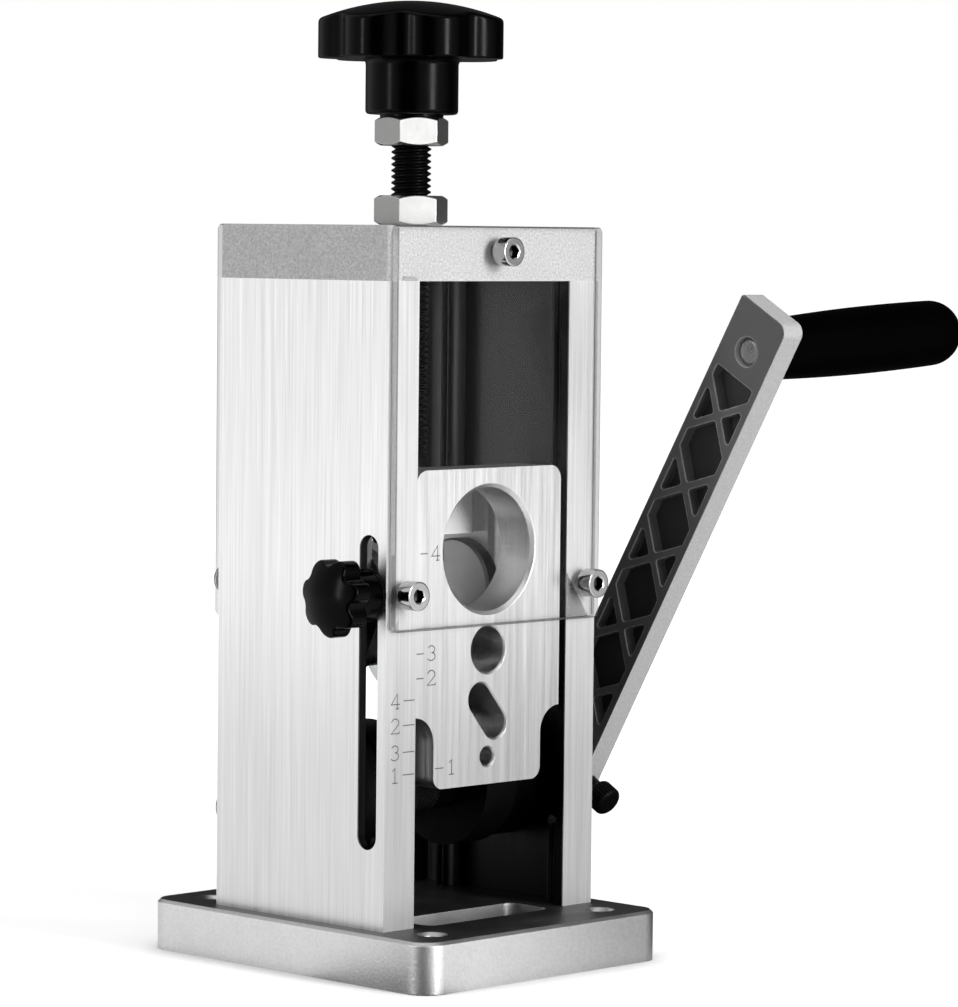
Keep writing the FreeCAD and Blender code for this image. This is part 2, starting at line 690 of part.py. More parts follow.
def grip_bolt():
    """Shouldered pin riveted into the arm, with a head that holds the grip on."""
    far = ARM_T + GRIP_STANDOFF + BOLT_AXLE_L
    sunk, ease = BOLT_SUNK, 0.4
    pin = turned([(0, sunk), (BOLT_R - ease, sunk), (BOLT_R, sunk + ease), (BOLT_R, ARM_T + 0.6),
                  (BOLT_AXLE_R, ARM_T + 0.6), (BOLT_AXLE_R, far), (BOLT_HEAD_R, far),
                  (BOLT_HEAD_R, far + BOLT_HEAD_T), (0, far + BOLT_HEAD_T)],
                 V(ARM_FACE_X, 0, ARM_L), grip_axis())
    return on_crank(pin)


def grip():
    """Barrel-shaped grip with a round closed end, hollow for the pin and its head."""
    start = ARM_T + GRIP_STANDOFF + 0.9
    tail = GRIP_L - GRIP_TAIL_R
    k = math.sqrt(0.5)
    body = turned([
        (0, 0), (GRIP_ROOT_R - 1, 0), (GRIP_ROOT_R, 1, GRIP_ROOT_R - 0.3, 0.3),
        (GRIP_TAIL_R, tail, GRIP_MID_R, tail * 0.72),
        (0, GRIP_L, GRIP_TAIL_R * k, tail + GRIP_TAIL_R * k),
    ])
    pin_end = ARM_T + GRIP_STANDOFF + BOLT_AXLE_L - start
    body = body.cut(Part.makeCylinder(BOLT_AXLE_R + RUNNING, pin_end))
    room = BOLT_HEAD_T + 2 * GAP
    body = body.cut(Part.makeCylinder(BOLT_HEAD_R + GAP, room, V(0, 0, pin_end - GAP)))
    axis = grip_axis()
    return on_crank(aim(body, V(ARM_FACE_X, 0, ARM_L) + axis * start, axis))


def thumb_screw():
    """Knurled-head screw that bears on the shaft's flat."""
    tip = SHAFT_R - SHAFT_FLAT + 0.05
    end = THUMB_NECK + THUMB_HEAD_L
    r = THUMB_ROUND
    k = r * (1 - math.sqrt(0.5))
    screw = turned([(0, tip), (THUMB_R - 0.5, tip), (THUMB_R, tip + 0.5), (THUMB_R, THUMB_NECK),
                    (THUMB_HEAD_R - r, THUMB_NECK),
                    (THUMB_HEAD_R, THUMB_NECK + r, THUMB_HEAD_R - k, THUMB_NECK + k),
                    (THUMB_HEAD_R, end - r), (THUMB_HEAD_R - r, end, THUMB_HEAD_R - k, end - k),
                    (0, end)], V(ARM_FACE_X + ARM_T / 2, 0, 0), V(0, -1, 0))
    return on_crank(screw)


# ================================================================ wire guide
def chamfered_bore(radius, chamfer, a, b):
    """Cutter for a guide hole between the centres a and b, eased at the front face."""
    cutter = plate(obround(radius, a, b), GUIDE_FRONT - 1, GUIDE_BACK + 1)
    wide = outline(obround(radius + chamfer, a, b))
    wide.translate(V(0, GUIDE_FRONT, 0))
    narrow = outline(obround(radius, a, b))
    narrow.translate(V(0, GUIDE_FRONT + chamfer, 0))
    return fuse([cutter, Part.makeLoft([wide, narrow], True)])


def guide_block():
    """Thick plate with four sizes of wire hole and a tongue below its shoulders."""
    cx, half, th = GUIDE_SHIFT, GUIDE_W / 2, TONGUE_HALF
    low, high = GUIDE_LOW, GUIDE_HIGH
    r, t, s = GUIDE_CORNER, TONGUE_CORNER, SHOULDER_R
    kr, kt, ks = (q * (1 - math.sqrt(0.5)) for q in (r, t, s))
    body = plate([
        (cx - th + t, low), (cx + th - t, low), (cx + th, low + t, cx + th - kt, low + kt),
        (cx + th, SHOULDER_Z - s),
        (cx + half, SHOULDER_Z, cx + th + ks * (half - th) / s, SHOULDER_Z - ks),
        (cx + half, high - r), (cx + half - r, high, cx + half - kr, high - kr),
        (cx - half + r, high), (cx - half, high - r, cx - half + kr, high - kr),
        (cx - half, SHOULDER_Z),
        (cx - th, SHOULDER_Z - s, cx - th - ks * (half - th) / s, SHOULDER_Z - ks),
        (cx - th, low + t), (cx - th + t, low, cx - th + kt, low + kt),
    ], GUIDE_FRONT, GUIDE_BACK)
    for z, radius, chamfer in ((BORE_4_Z, BORE_4_R, BORE_4_CHAMFER), (BORE_3_Z, BORE_3_R, BORE_CHAMFER),
                               (BORE_1_Z, BORE_1_R, BORE_CHAMFER)):
        body = body.cut(turned([(0, 0), (radius + chamfer, 0), (radius, chamfer), (radius, GUIDE_T),
                                (0, GUIDE_T)], V(cx, GUIDE_FRONT, z), Y_AXIS))
    upper = (cx - BORE_2_DX, BORE_2_Z + BORE_2_DZ)
    lower = (cx + BORE_2_DX, BORE_2_Z - BORE_2_DZ)
    body = body.cut(chamfered_bore(BORE_2_R, BORE_CHAMFER, upper, lower))
    for end, bite, direction in ((cx - half, STUD_BITE, 1), (cx + half, PIN_BITE, -1)):
        body = body.cut(rod(STUD_R + FIT, V(end, SLOT_Y, STUD_Z),
                            V(end + direction * (bite + 0.5), SLOT_Y, STUD_Z)))
    return body


def guide_stud():
    """Stud from the guide out through the left slot, for the knob."""
    start = GUIDE_SHIFT - GUIDE_W / 2 + STUD_BITE
    return rod(STUD_R, V(start, SLOT_Y, STUD_Z), V(knob_face() - STAR_BORE_L + 0.5, SLOT_Y, STUD_Z))


def guide_pin():
    """Plain pin that keeps the guide's other edge in the right slot."""
    start = GUIDE_SHIFT + GUIDE_W / 2 - PIN_BITE
    return rod(STUD_R, V(start, SLOT_Y, STUD_Z), V(HALF_W - GAP, SLOT_Y, STUD_Z))


def knob_face():
    """X of the guide knob's hub face, outside the left wall and the washer."""
    return -HALF_W - GAP - KNOB_WASHER_T - GAP / 2


def guide_washer():
    """Washer between the left wall and the knob."""
    return ring(KNOB_WASHER_R, STUD_R + FIT, KNOB_WASHER_T,
                V(-HALF_W - GAP - KNOB_WASHER_T, SLOT_Y, STUD_Z), X_AXIS)


def guide_knob():
    """Star knob: lobed, domed head on a short hub, with a blind threaded hole."""
    total = STAR_HUB_L + STAR_HEAD_L
    outer = STAR_LOBE_AT + STAR_LOBE_R
    head = lobed_prism(STAR_LOBES, STAR_LOBE_AT, STAR_LOBE_R, STAR_VALLEY_R, STAR_HEAD_L)
    head.translate(V(0, 0, STAR_HUB_L))
    back, cone = STAR_HUB_L - 1, STAR_BACK_EASE + 1
    blank = domed_blank([(0, back), (outer - cone, back), (outer + 1, STAR_HUB_L + cone)],
                        outer, STAR_HUB_L + STAR_EDGE_L, total)
    body = fuse([head.common(blank), Part.makeCylinder(STAR_HUB_R, STAR_HUB_L + 0.5)])
    body = body.cut(Part.makeCylinder(STUD_R + RUNNING, STAR_BORE_L))
    return aim(body, V(knob_face(), SLOT_Y, STUD_Z), V(-1, 0, 0))


# ================================================================ spindle and top knob
def spindle():
    """Screw spindle from the blade carriage up into the top knob."""
    top = KNOB_LOW + KNOB_BORE_L - 0.5
    ease = 0.8
    return turned([(0, SPINDLE_LOW), (SPINDLE_R - ease, SPINDLE_LOW), (SPINDLE_R, SPINDLE_LOW + ease),
                   (SPINDLE_R, top - ease), (SPINDLE_R - ease, top), (0, top)])


def nut_at(z, height, bore, turn):
    """A nut of the spindle's size, standing at a height."""
    nut = hex_nut(NUT_AF, height, bore, turn)
    nut.translate(V(0, 0, z))
    return nut


def top_knob():
    """Domed handwheel: waved rim, hub and small collar, with a blind hole for the spindle."""
    rim_low = KNOB_RIM_LOW
    edge = rim_low + KNOB_EDGE_H
    outer = KNOB_LOBE_AT + KNOB_LOBE_R
    rim = lobed_prism(KNOB_LOBES, KNOB_LOBE_AT, KNOB_LOBE_R, KNOB_VALLEY_R, KNOB_EDGE_H + KNOB_DOME_H)
    rim.rotate(V(0, 0, 0), Z_AXIS, KNOB_TURN)
    rim.translate(V(0, 0, rim_low))
    blank = domed_blank([(0, rim_low - 1), (outer + 1, rim_low - 1)], outer, edge,
                        edge + KNOB_DOME_H)
    hub_low, ease = KNOB_LOW + KNOB_COLLAR_H, 0.6
    hub = turned([(0, KNOB_LOW), (KNOB_COLLAR_R, KNOB_LOW), (KNOB_COLLAR_R, hub_low),
                  (KNOB_HUB_R - ease, hub_low), (KNOB_HUB_R, hub_low + ease),
                  (KNOB_HUB_R, rim_low + 1), (0, rim_low + 1)])
    body = fuse([rim.common(blank), hub])
    return body.cut(Part.makeCylinder(SPINDLE_R + FIT, KNOB_BORE_L, V(0, 0, KNOB_LOW)))


# ================================================================ blade carriage
def blade_carriage():
    """Cast bridge on the spindle, with wings that run between the webs and a lug on each side."""
    half_boss = BRIDGE_BOSS_D / 2
    wing = WEB_IN - GAP
    z0, z1 = BRIDGE_LOW, BRIDGE_TOP
    boss = rounded_bar(BRIDGE_BOSS_HALF, half_boss, 2.0, z0, z1)
    pieces = [boss, block(-wing, wing, -WING_D / 2, WING_D / 2, z0, z1)]
    for side in (-1, 1):
        x0, x1 = sorted((side * (CHEEK_X + CHEEK_T), side * (CHEEK_X + CHEEK_T + LUG_T)))
        pieces.append(block(x0, x1, -LUG_D / 2, LUG_D / 2, LUG_LOW, z1))
    body = fuse(pieces).cut(Part.makeCylinder(SPINDLE_R + RUNNING, BRIDGE_H, V(0, 0, z0)))
    for side in (-1, 1):
        for y, z in cheek_screw_places():
            body = body.cut(rod(SCREW_R + HOLE_CLEARANCE, V(side * (CHEEK_X + CHEEK_T), y, z),
                                V(side * (CHEEK_X + CHEEK_T + LUG_T), y, z)))
    return body


def cheek_screw_places():
    """Places of a cheek's two screws, as (y, z)."""
    z = CHEEK_TOP_Z + CHEEK_SCREW_RISE
    return [(-CHEEK_SCREW_Y, z), (CHEEK_SCREW_Y, z)]


def cheek(side):
    """Pear-shaped side plate: a large round top, straight flanks and a small round foot."""
    run = CHEEK_TOP_Z - AXLE_Z
    lean = math.asin((CHEEK_TOP_R - CHEEK_LOW_R) / run)
    c, s = math.cos(lean), math.sin(lean)
    top = (CHEEK_TOP_R * c, CHEEK_TOP_Z - CHEEK_TOP_R * s)
    low = (CHEEK_LOW_R * c, AXLE_Z - CHEEK_LOW_R * s)
    body = plate([(-top[0], top[1]), (top[0], top[1], 0, CHEEK_TOP_Z + CHEEK_TOP_R), low,
                  (-low[0], low[1], 0, AXLE_Z - CHEEK_LOW_R)], 0, CHEEK_T)
    rim = [e for e in body.Edges if abs(e.CenterOfMass.y - CHEEK_T) < 0.01]
    body = body.makeChamfer(CHEEK_EDGE, rim)
    body.rotate(V(0, 0, 0), Z_AXIS, 90)
    body.translate(V(CHEEK_X + CHEEK_T, 0, 0))
    body = body.cut(rod(BLADE_AXLE_R + FIT, V(CHEEK_X, 0, AXLE_Z), V(CHEEK_X + CHEEK_T, 0, AXLE_Z)))
    outer = CHEEK_X + CHEEK_T
    for y, z in cheek_screw_places():
        body = body.cut(rod(SCREW_R + FIT, V(outer, y, z), V(outer - CHEEK_SCREW_BITE - 0.5, y, z)))
    return body if side > 0 else mirrored(body)


def cheek_screws():
    """Screws from outside the lugs into the cheeks."""
    seat = CHEEK_X + CHEEK_T + LUG_T
    return [button_screw(V(side * seat, y, z), V(side, 0, 0), LUG_T + CHEEK_SCREW_BITE)
            for side in (-1, 1) for y, z in cheek_screw_places()]


def blade_axle():
    """Pin through both cheeks."""
    reach = CHEEK_X + CHEEK_T + CLIP_T + 0.8
    return rod(BLADE_AXLE_R, V(-reach, 0, AXLE_Z), V(reach, 0, AXLE_Z))


def axle_clips():
    """Retaining rings on the axle's ends, outside the cheeks."""
    seat = CHEEK_X + CHEEK_T
    return [ring(CLIP_R, BLADE_AXLE_R + FIT, CLIP_T, V(side * seat, 0, AXLE_Z), V(side, 0, 0))
            for side in (-1, 1)]


def blade():
    """Round blade, bevelled to an edge from both sides."""
    half = BLADE_T / 2
    bore = BLADE_AXLE_R + RUNNING
    return turned([(bore, -half), (BLADE_R - BLADE_BEVEL, -half), (BLADE_R, -0.05), (BLADE_R, 0.05),
                   (BLADE_R - BLADE_BEVEL, half), (bore, half)], V(BLADE_X, 0, AXLE_Z), X_AXIS)


def blade_spacers():
    """Sleeves between the blade and each cheek."""
    sleeves = []
    for side in (-1, 1):
        inner = BLADE_X + side * (BLADE_T / 2 + GAP)
        sleeves.append(ring(SPACER_R, BLADE_AXLE_R + FIT, abs(side * CHEEK_X - inner),
                            V(inner, 0, AXLE_Z), V(side, 0, 0)))
    return sleeves


# ================================================================ the nodes
def main():
    """Builds every node and writes its STEP file."""
    os.makedirs("parts", exist_ok=True)

    save("base_plate", base_plate())
    save("right_channel", right_channel())
    save("left_channel", mirrored(channel()))
    save("top_cap", top_cap())
    save("front_cover", cover(-1))
    save("rear_cover", cover(1))
    save("front_cover_screws", *cover_screws(-1, socket_screw))
    save("rear_cover_screws", *cover_screws(1, button_screw))
    save("base_screws", *port_screws(COUNTERBORE_T, -1))
    save("cap_screws", *port_screws(CAP_TOP - COUNTERBORE_T, 1))

    save("roller_bracket", roller_bracket())
    washer_seats = [V(side * COVER_SCREW_X, HALF_D, BRACKET_SCREW_Z) for side in (-1, 1)]
    save("bracket_washers", *[ring(WASHER_R, SCREW_R + FIT, WASHER_T, seat, Y_AXIS)
                              for seat in washer_seats])
    save("bracket_screws", *[button_screw(seat + Y_AXIS * WASHER_T, Y_AXIS,
                                          WASHER_T + WALL + BRACKET_SCREW_BITE)
                             for seat in washer_seats])
    save("left_bush", bush(-1))
    save("right_bush", bush(1))

    save("drive_shaft", drive_shaft())
    save("roller_key", key_block(0))
    save("feed_roller", feed_roller())
    save("crank_arm", crank_arm())
    save("grip_bolt", grip_bolt())
    save("grip", grip())
    save("thumb_screw", thumb_screw())

    save("guide_block", guide_block())
    save("guide_stud", guide_stud())
    save("guide_pin", guide_pin())
    save("guide_washer", guide_washer())
    save("guide_knob", guide_knob())

    save("lock_nut", nut_at(CAP_TOP + GAP / 3, LOCK_NUT_T - GAP / 3, SPINDLE_R + RUNNING,
                            LOCK_NUT_TURN))
    save("spindle", spindle())
    save("knob_nut", nut_at(KNOB_NUT_LOW, KNOB_NUT_T, SPINDLE_R + FIT, LOCK_NUT_TURN))
    save("top_knob", top_knob())
    save("spindle_ring", ring(RING_R, SPINDLE_R + FIT, RING_T, V(0, 0, BRIDGE_TOP + GAP), Z_AXIS))
    washer_z = BRIDGE_LOW - GAP - END_WASHER_T
    save("spindle_end_washer", ring(END_WASHER_R, SPINDLE_R + FIT, END_WASHER_T, V(0, 0, washer_z),
                                    Z_AXIS))
    save("spindle_end_nut", nut_at(washer_z - END_NUT_T, END_NUT_T, SPINDLE_R + FIT, 0))

    save("blade_carriage", blade_carriage())
    save("left_cheek", cheek(-1))
    save("right_cheek", cheek(1))
    save("cheek_screws", *cheek_screws())
    save("blade_axle", blade_axle())
    save("axle_clips", *axle_clips())
    save("blade_spacers", *blade_spacers())
    save("blade", blade())


main()
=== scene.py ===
"""Looks of a hand crank wire stripper: brushed channels, cast pieces, black knobs, clear covers.

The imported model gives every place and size.  Each class below dresses one sub-assembly: it
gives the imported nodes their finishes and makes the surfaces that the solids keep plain, such
as the screw thread, the waved knobs, the socket screws and the engraved scale.
"""

import logging
import math
from dataclasses import dataclass, field
from enum import Enum
from typing import Callable, Sequence

import bpy
import numpy as np
from mathutils import Matrix, Vector


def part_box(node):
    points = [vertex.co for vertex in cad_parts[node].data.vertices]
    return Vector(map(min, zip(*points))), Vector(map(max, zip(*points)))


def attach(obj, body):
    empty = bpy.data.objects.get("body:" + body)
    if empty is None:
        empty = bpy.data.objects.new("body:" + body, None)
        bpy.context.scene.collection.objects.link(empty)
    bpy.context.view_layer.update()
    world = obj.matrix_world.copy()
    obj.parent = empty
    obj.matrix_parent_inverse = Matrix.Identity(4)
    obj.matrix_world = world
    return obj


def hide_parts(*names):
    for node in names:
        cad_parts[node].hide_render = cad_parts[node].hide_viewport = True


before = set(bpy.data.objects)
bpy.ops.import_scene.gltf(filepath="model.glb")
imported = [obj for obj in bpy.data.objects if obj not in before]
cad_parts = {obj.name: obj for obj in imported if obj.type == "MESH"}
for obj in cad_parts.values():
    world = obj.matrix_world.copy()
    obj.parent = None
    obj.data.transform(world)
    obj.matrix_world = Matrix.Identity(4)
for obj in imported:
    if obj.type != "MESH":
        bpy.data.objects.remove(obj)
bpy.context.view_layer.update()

logging.basicConfig(level=logging.INFO, format="%(name)s: %(message)s")
LOG = logging.getLogger("stripper")

MM = 0.001
TAU = 2 * math.pi
# Angle in degrees above which an edge is shaded sharp, where a piece gives no other.
CREASE = 32.0
# Lean of the crank's arm in degrees, and height of its shaft in millimetres.
CRANK_TILT, SHAFT_Z = 30.1, 42.6
# Kinds of socket on the shared groups.
VALUE, VECTOR = "NodeSocketFloat", "NodeSocketVector"

Socket = bpy.types.NodeSocket
Shape = Callable[[np.ndarray, np.ndarray, np.ndarray], np.ndarray]


# ---------------------------------------------------------------- mesh making
class Cap(Enum):
    """How an end of a swept grid is closed."""

    OPEN = 0
    POINT = 1


def basis(axis: Sequence[float], hint: Sequence[float] = (0.0, 0.0, 1.0)) -> np.ndarray:
    """Three unit rows: two across the axis and the axis itself.

    Args:
        axis: direction that local +Z takes.
        hint: direction that local +X leans towards, not along the axis.

    Returns:
        A 3 by 3 array whose rows are local X, Y and Z in the row frame.
    """
    z = np.asarray(axis, float)
    z = z / np.linalg.norm(z)
    x = np.asarray(hint, float) - np.dot(hint, z) * z
    x = x / np.linalg.norm(x)
    return np.stack([x, np.cross(z, x), z])


def place(points: np.ndarray, origin: Sequence[float], axes: np.ndarray) -> np.ndarray:
    """Local points times the basis rows, plus the origin."""
    return np.asarray(origin, float) + points @ axes


def grid_mesh(name: str, points: np.ndarray, first: Cap = Cap.POINT, last: Cap = Cap.POINT,
              crease: float = CREASE) -> bpy.types.Object:
    """A mesh from a grid of points whose second index runs round and closes on itself.

    Args:
        name: name of the object.
        points: array of shape (rows, columns, 3), in metres.
        first: how the first row is closed.
        last: how the last row is closed.
        crease: angle in degrees above which an edge is shaded sharp.

    Returns:
        The linked object, its faces turned outwards.
    """
    rows, cols, _ = points.shape
    verts = points.reshape(-1, 3)
    r, c = np.meshgrid(np.arange(rows - 1), np.arange(cols), indexing="ij")
    here = r * cols + c
    right = r * cols + (c + 1) % cols
    quads = np.stack([here, right, right + cols, here + cols], -1).reshape(-1, 4)
    faces = quads.tolist()
    ring = np.arange(cols)
    if first is Cap.POINT:
        verts = np.vstack([verts, points[0].mean(0)])
        hub = np.full(cols, len(verts) - 1)
        faces += np.stack([(ring + 1) % cols, ring, hub], -1).tolist()
    if last is Cap.POINT:
        verts = np.vstack([verts, points[-1].mean(0)])
        hub = np.full(cols, len(verts) - 1)
        start = (rows - 1) * cols
        faces += np.stack([start + ring, start + (ring + 1) % cols, hub], -1).tolist()
    return mesh_object(name, verts, faces, crease)


def linked(name: str, mesh: bpy.types.Mesh, crease: float) -> bpy.types.Object:
    """A linked object of a mesh, shaded sharp where its faces turn by more than crease degrees."""
    mesh.shade_smooth()
    mesh.set_sharp_from_angle(angle=math.radians(crease))
    piece = bpy.data.objects.new(name, mesh)
    bpy.context.scene.collection.objects.link(piece)
    return piece


def mesh_object(name: str, verts: np.ndarray, faces: list, crease: float) -> bpy.types.Object:
    """Links a mesh of the given vertices and faces, turned outwards and shaded by angle."""
    mesh = bpy.data.meshes.new(name)
    mesh.from_pydata(verts.tolist(), [], faces)
    mesh.update()
    mesh.calc_loop_triangles()
    tris = np.empty(len(mesh.loop_triangles) * 3, np.int32)
    mesh.loop_triangles.foreach_get("vertices", tris)
    a, b, c = (verts[tris.reshape(-1, 3)[:, i]] for i in range(3))
    if np.einsum("ij,ij->", a, np.cross(b, c)) < 0:
        mesh.flip_normals()
    return linked(name, mesh, crease)


def vertices_of(piece: bpy.types.Object) -> np.ndarray:
    """The places of an object's vertices, one row each."""
    co = np.empty(len(piece.data.vertices) * 3)
    piece.data.vertices.foreach_get("co", co)
    return co.reshape(-1, 3)


def joined(name: str, pieces: Sequence[bpy.types.Object]) -> bpy.types.Object:
    """One object of several meshes, without their materials; the several objects are removed."""
    verts, faces, base = [], [], 0
    for piece in pieces:
        verts.append(vertices_of(piece))
        faces += [[v + base for v in p.vertices] for p in piece.data.polygons]
        base += len(piece.data.vertices)
        bpy.data.objects.remove(piece)
    mesh = bpy.data.meshes.new(name)
    mesh.from_pydata(np.vstack(verts).tolist(), [], faces)
    return linked(name, mesh, CREASE)


def profile(corners: Sequence[tuple[float, float, float]], steps: int = 5) -> np.ndarray:
    """A (radius, height) line through corners, each rounded by its own radius.

    Each inner corner is replaced by a quadratic arc that starts and ends a rounding's
    length before and after the corner, so it is tangent to both runs. It takes less than
    half of either run, so that two roundings on one run don't meet.

    Args:
        corners: (radius, height, rounding) of each corner, in millimetres.
        steps: points on each rounded corner.

    Returns:
        Array of (radius, height) rows, in millimetres.
    """
    line, most = [], 0.48
    pts = np.array([(c[0], c[1]) for c in corners], float)
    for i, here in enumerate(pts):
        rounding = corners[i][2]
        if rounding <= 0 or i in (0, len(corners) - 1):
            line.append(here)
            continue
        before, after = pts[i - 1] - here, pts[i + 1] - here
        cut = min(rounding, most * np.linalg.norm(before), most * np.linalg.norm(after))
        a = here + before / np.linalg.norm(before) * cut
        b = here + after / np.linalg.norm(after) * cut
        t = np.linspace(0, 1, steps)[:, None]
        line.extend((1 - t) ** 2 * a + 2 * t * (1 - t) * here + t ** 2 * b)
    return np.array(line)


def around(columns: int) -> np.ndarray:
    """The angles of so many columns round an axis, in radians."""
    return np.arange(columns) * TAU / columns


def turned(radius: np.ndarray, height: np.ndarray, angle: np.ndarray) -> np.ndarray:
    """Points at a radius, a height and an angle about local Z."""
    return np.stack([radius * np.cos(angle), radius * np.sin(angle), height], -1)


def revolve(line: np.ndarray, columns: int, shape: Shape | None = None) -> np.ndarray:
    """A grid of points of a profile turned round local Z.

    Args:
        line: (radius, height) rows in millimetres.
        columns: points round the axis.
        shape: optional function of (radius, height, angle) that gives the radius to use.

    Returns:
        Array (rows, columns, 3) in millimetres.
    """
    radius = np.repeat(line[:, :1], columns, 1)
    height = np.repeat(line[:, 1:], columns, 1)
    turn = np.repeat(around(columns)[None, :], len(line), 0)
    if shape is not None:
        radius = shape(radius, height, turn)
    return turned(radius, height, turn)


def slab(name: str, low: Sequence[float], high: Sequence[float], corner: float,
         bevel: float) -> bpy.types.Object:
    """A flat plate that faces the front, its corners rounded and its edges bevelled.

    Its outline is a rounded rectangle: on each corner's quarter the point is the corner's centre
    plus the radius times (cos, sin). Two outlines shrunk by the bevel close the front and back.

    Args:
        name: name of the object.
        low: least x, y and z, in millimetres.
        high: greatest x, y and z, in millimetres.
        corner: radius of the outline's corners.
        bevel: size of the bevel.

    Returns:
        The linked object.
    """
    columns = 32
    angle = around(columns) + TAU / (2 * columns)
    round_way = np.stack([np.cos(angle), np.sin(angle)], -1)
    (x0, y0, z0), (x1, y1, z1) = low, high
    half = np.array([x1 - x0, z1 - z0]) / 2 - corner
    rows = []
    for y, inset in ((y0, bevel), (y0 + bevel, 0.0), (y1 - bevel, 0.0), (y1, bevel)):
        flat = np.sign(round_way) * half + (corner - inset) * round_way
        rows.append(np.stack([flat[:, 0] + (x0 + x1) / 2, np.full(columns, y),
                              flat[:, 1] + (z0 + z1) / 2], -1))
    return grid_mesh(name, np.stack(rows) * MM, crease=20)


@dataclass(frozen=True)
class LobedRim:
    """A rim that waves in tangent arcs: lobes on a circle, joined by hollows.

    At an angle p from the nearest lobe's middle the lobe gives the radius
    A cos p + root(B^2 - A^2 sin^2 p), and at q from the nearest hollow's middle the hollow gives
    D cos q - root(V^2 - D^2 sin^2 q); the two arcs touch where their centres' line crosses them.
    """

    lobes: int
    lobe_at: float
    lobe_r: float
    valley_r: float
    turn: float = 0.0

    def radius(self, angle: np.ndarray) -> np.ndarray:
        """The rim's radius at angles in radians."""
        half = math.pi / self.lobes
        reach = self.lobe_r + self.valley_r
        share = self.lobe_r / reach
        up, along = self.lobe_at * math.sin(half), self.lobe_at * math.cos(half)
        valley_at = along + math.sqrt(reach ** 2 - up ** 2)
        touch_x = self.lobe_at + (valley_at * math.cos(half) - self.lobe_at) * share
        touch = math.atan2(valley_at * math.sin(half) * share, touch_x)
        p = np.abs((angle - math.radians(self.turn) + half) % (2 * half) - half)
        q = half - p

        def root(arc_r: float, at: float, off: np.ndarray) -> np.ndarray:
            """Root of the arc's radius squared less (its centre's distance x sin off) squared."""
            return np.sqrt(np.clip(arc_r ** 2 - (at * np.sin(off)) ** 2, 0, None))

        lobe = self.lobe_at * np.cos(p) + root(self.lobe_r, self.lobe_at, p)
        valley = valley_at * np.cos(q) - root(self.valley_r, valley_at, q)
        return np.where(p < touch, lobe, valley)

    @property
    def outer(self) -> float:
        """The largest radius."""
        return self.lobe_at + self.lobe_r

    def head(self, columns: int, inner: float, low: float, edge: float, top: float,
             back_ease: float, front_ease: float) -> np.ndarray:
        """The lobed head of a knob as grid rows: back face, rounded edges, wall and round dome.

        The dome is a ball's cap whose height at radius r is top - ball + root(ball^2 - r^2); it
        reaches the largest radius at the height edge. Each edge is a quadratic arc from one
        ease before the corner to one ease after it. Inside, the rows shrink the outline.

        Args:
            columns: points round the axis.
            inner: radius where the back face starts.
            low: height of the back face.
            edge: height at which the dome meets the tips of the lobes.
            top: height of the dome.
            back_ease: size of the rounding behind.
            front_ease: size of the rounding in front.

        Returns:
            Array (rows, columns, 3).
        """
        rim = self.radius(around(columns))
        rise = top - edge
        ball = (self.outer ** 2 + rise ** 2) / (2 * rise)

        def dome(radius: np.ndarray) -> np.ndarray:
            """Height of the dome at a radius."""
            return top - ball + np.sqrt(ball ** 2 - radius ** 2)

        def corner(a: tuple, b: tuple, c: tuple) -> list[tuple]:
            """Rows of a quadratic arc from a to c with b as its corner."""
            return [tuple((1 - t) ** 2 * u + 2 * t * (1 - t) * v + t ** 2 * w
                          for u, v, w in zip(a, b, c)) for t in np.linspace(0, 1, 7)]

        flat, start, end = np.full(columns, low), np.full(columns, inner), rim - back_ease
        rows = [(start * (1 - t) + end * t, flat) for t in (0.0, 0.35, 0.7)]
        rows += corner((end, flat), (rim, flat), (rim, flat + back_ease))
        inside = rim - front_ease
        wall_top = dome(rim) - front_ease
        wall = wall_top - flat - back_ease
        rows += [(rim, flat + back_ease + wall * t) for t in (0.33, 0.66)]
        rows += corner((rim, wall_top), (rim, dome(rim)), (inside, dome(inside)))
        rows += [(inside * t, dome(inside * t)) for t in np.linspace(1, 0.03, 22)[1:]]
        radius, height = (np.stack(part) for part in zip(*rows))
        return turned(radius, height, around(columns))


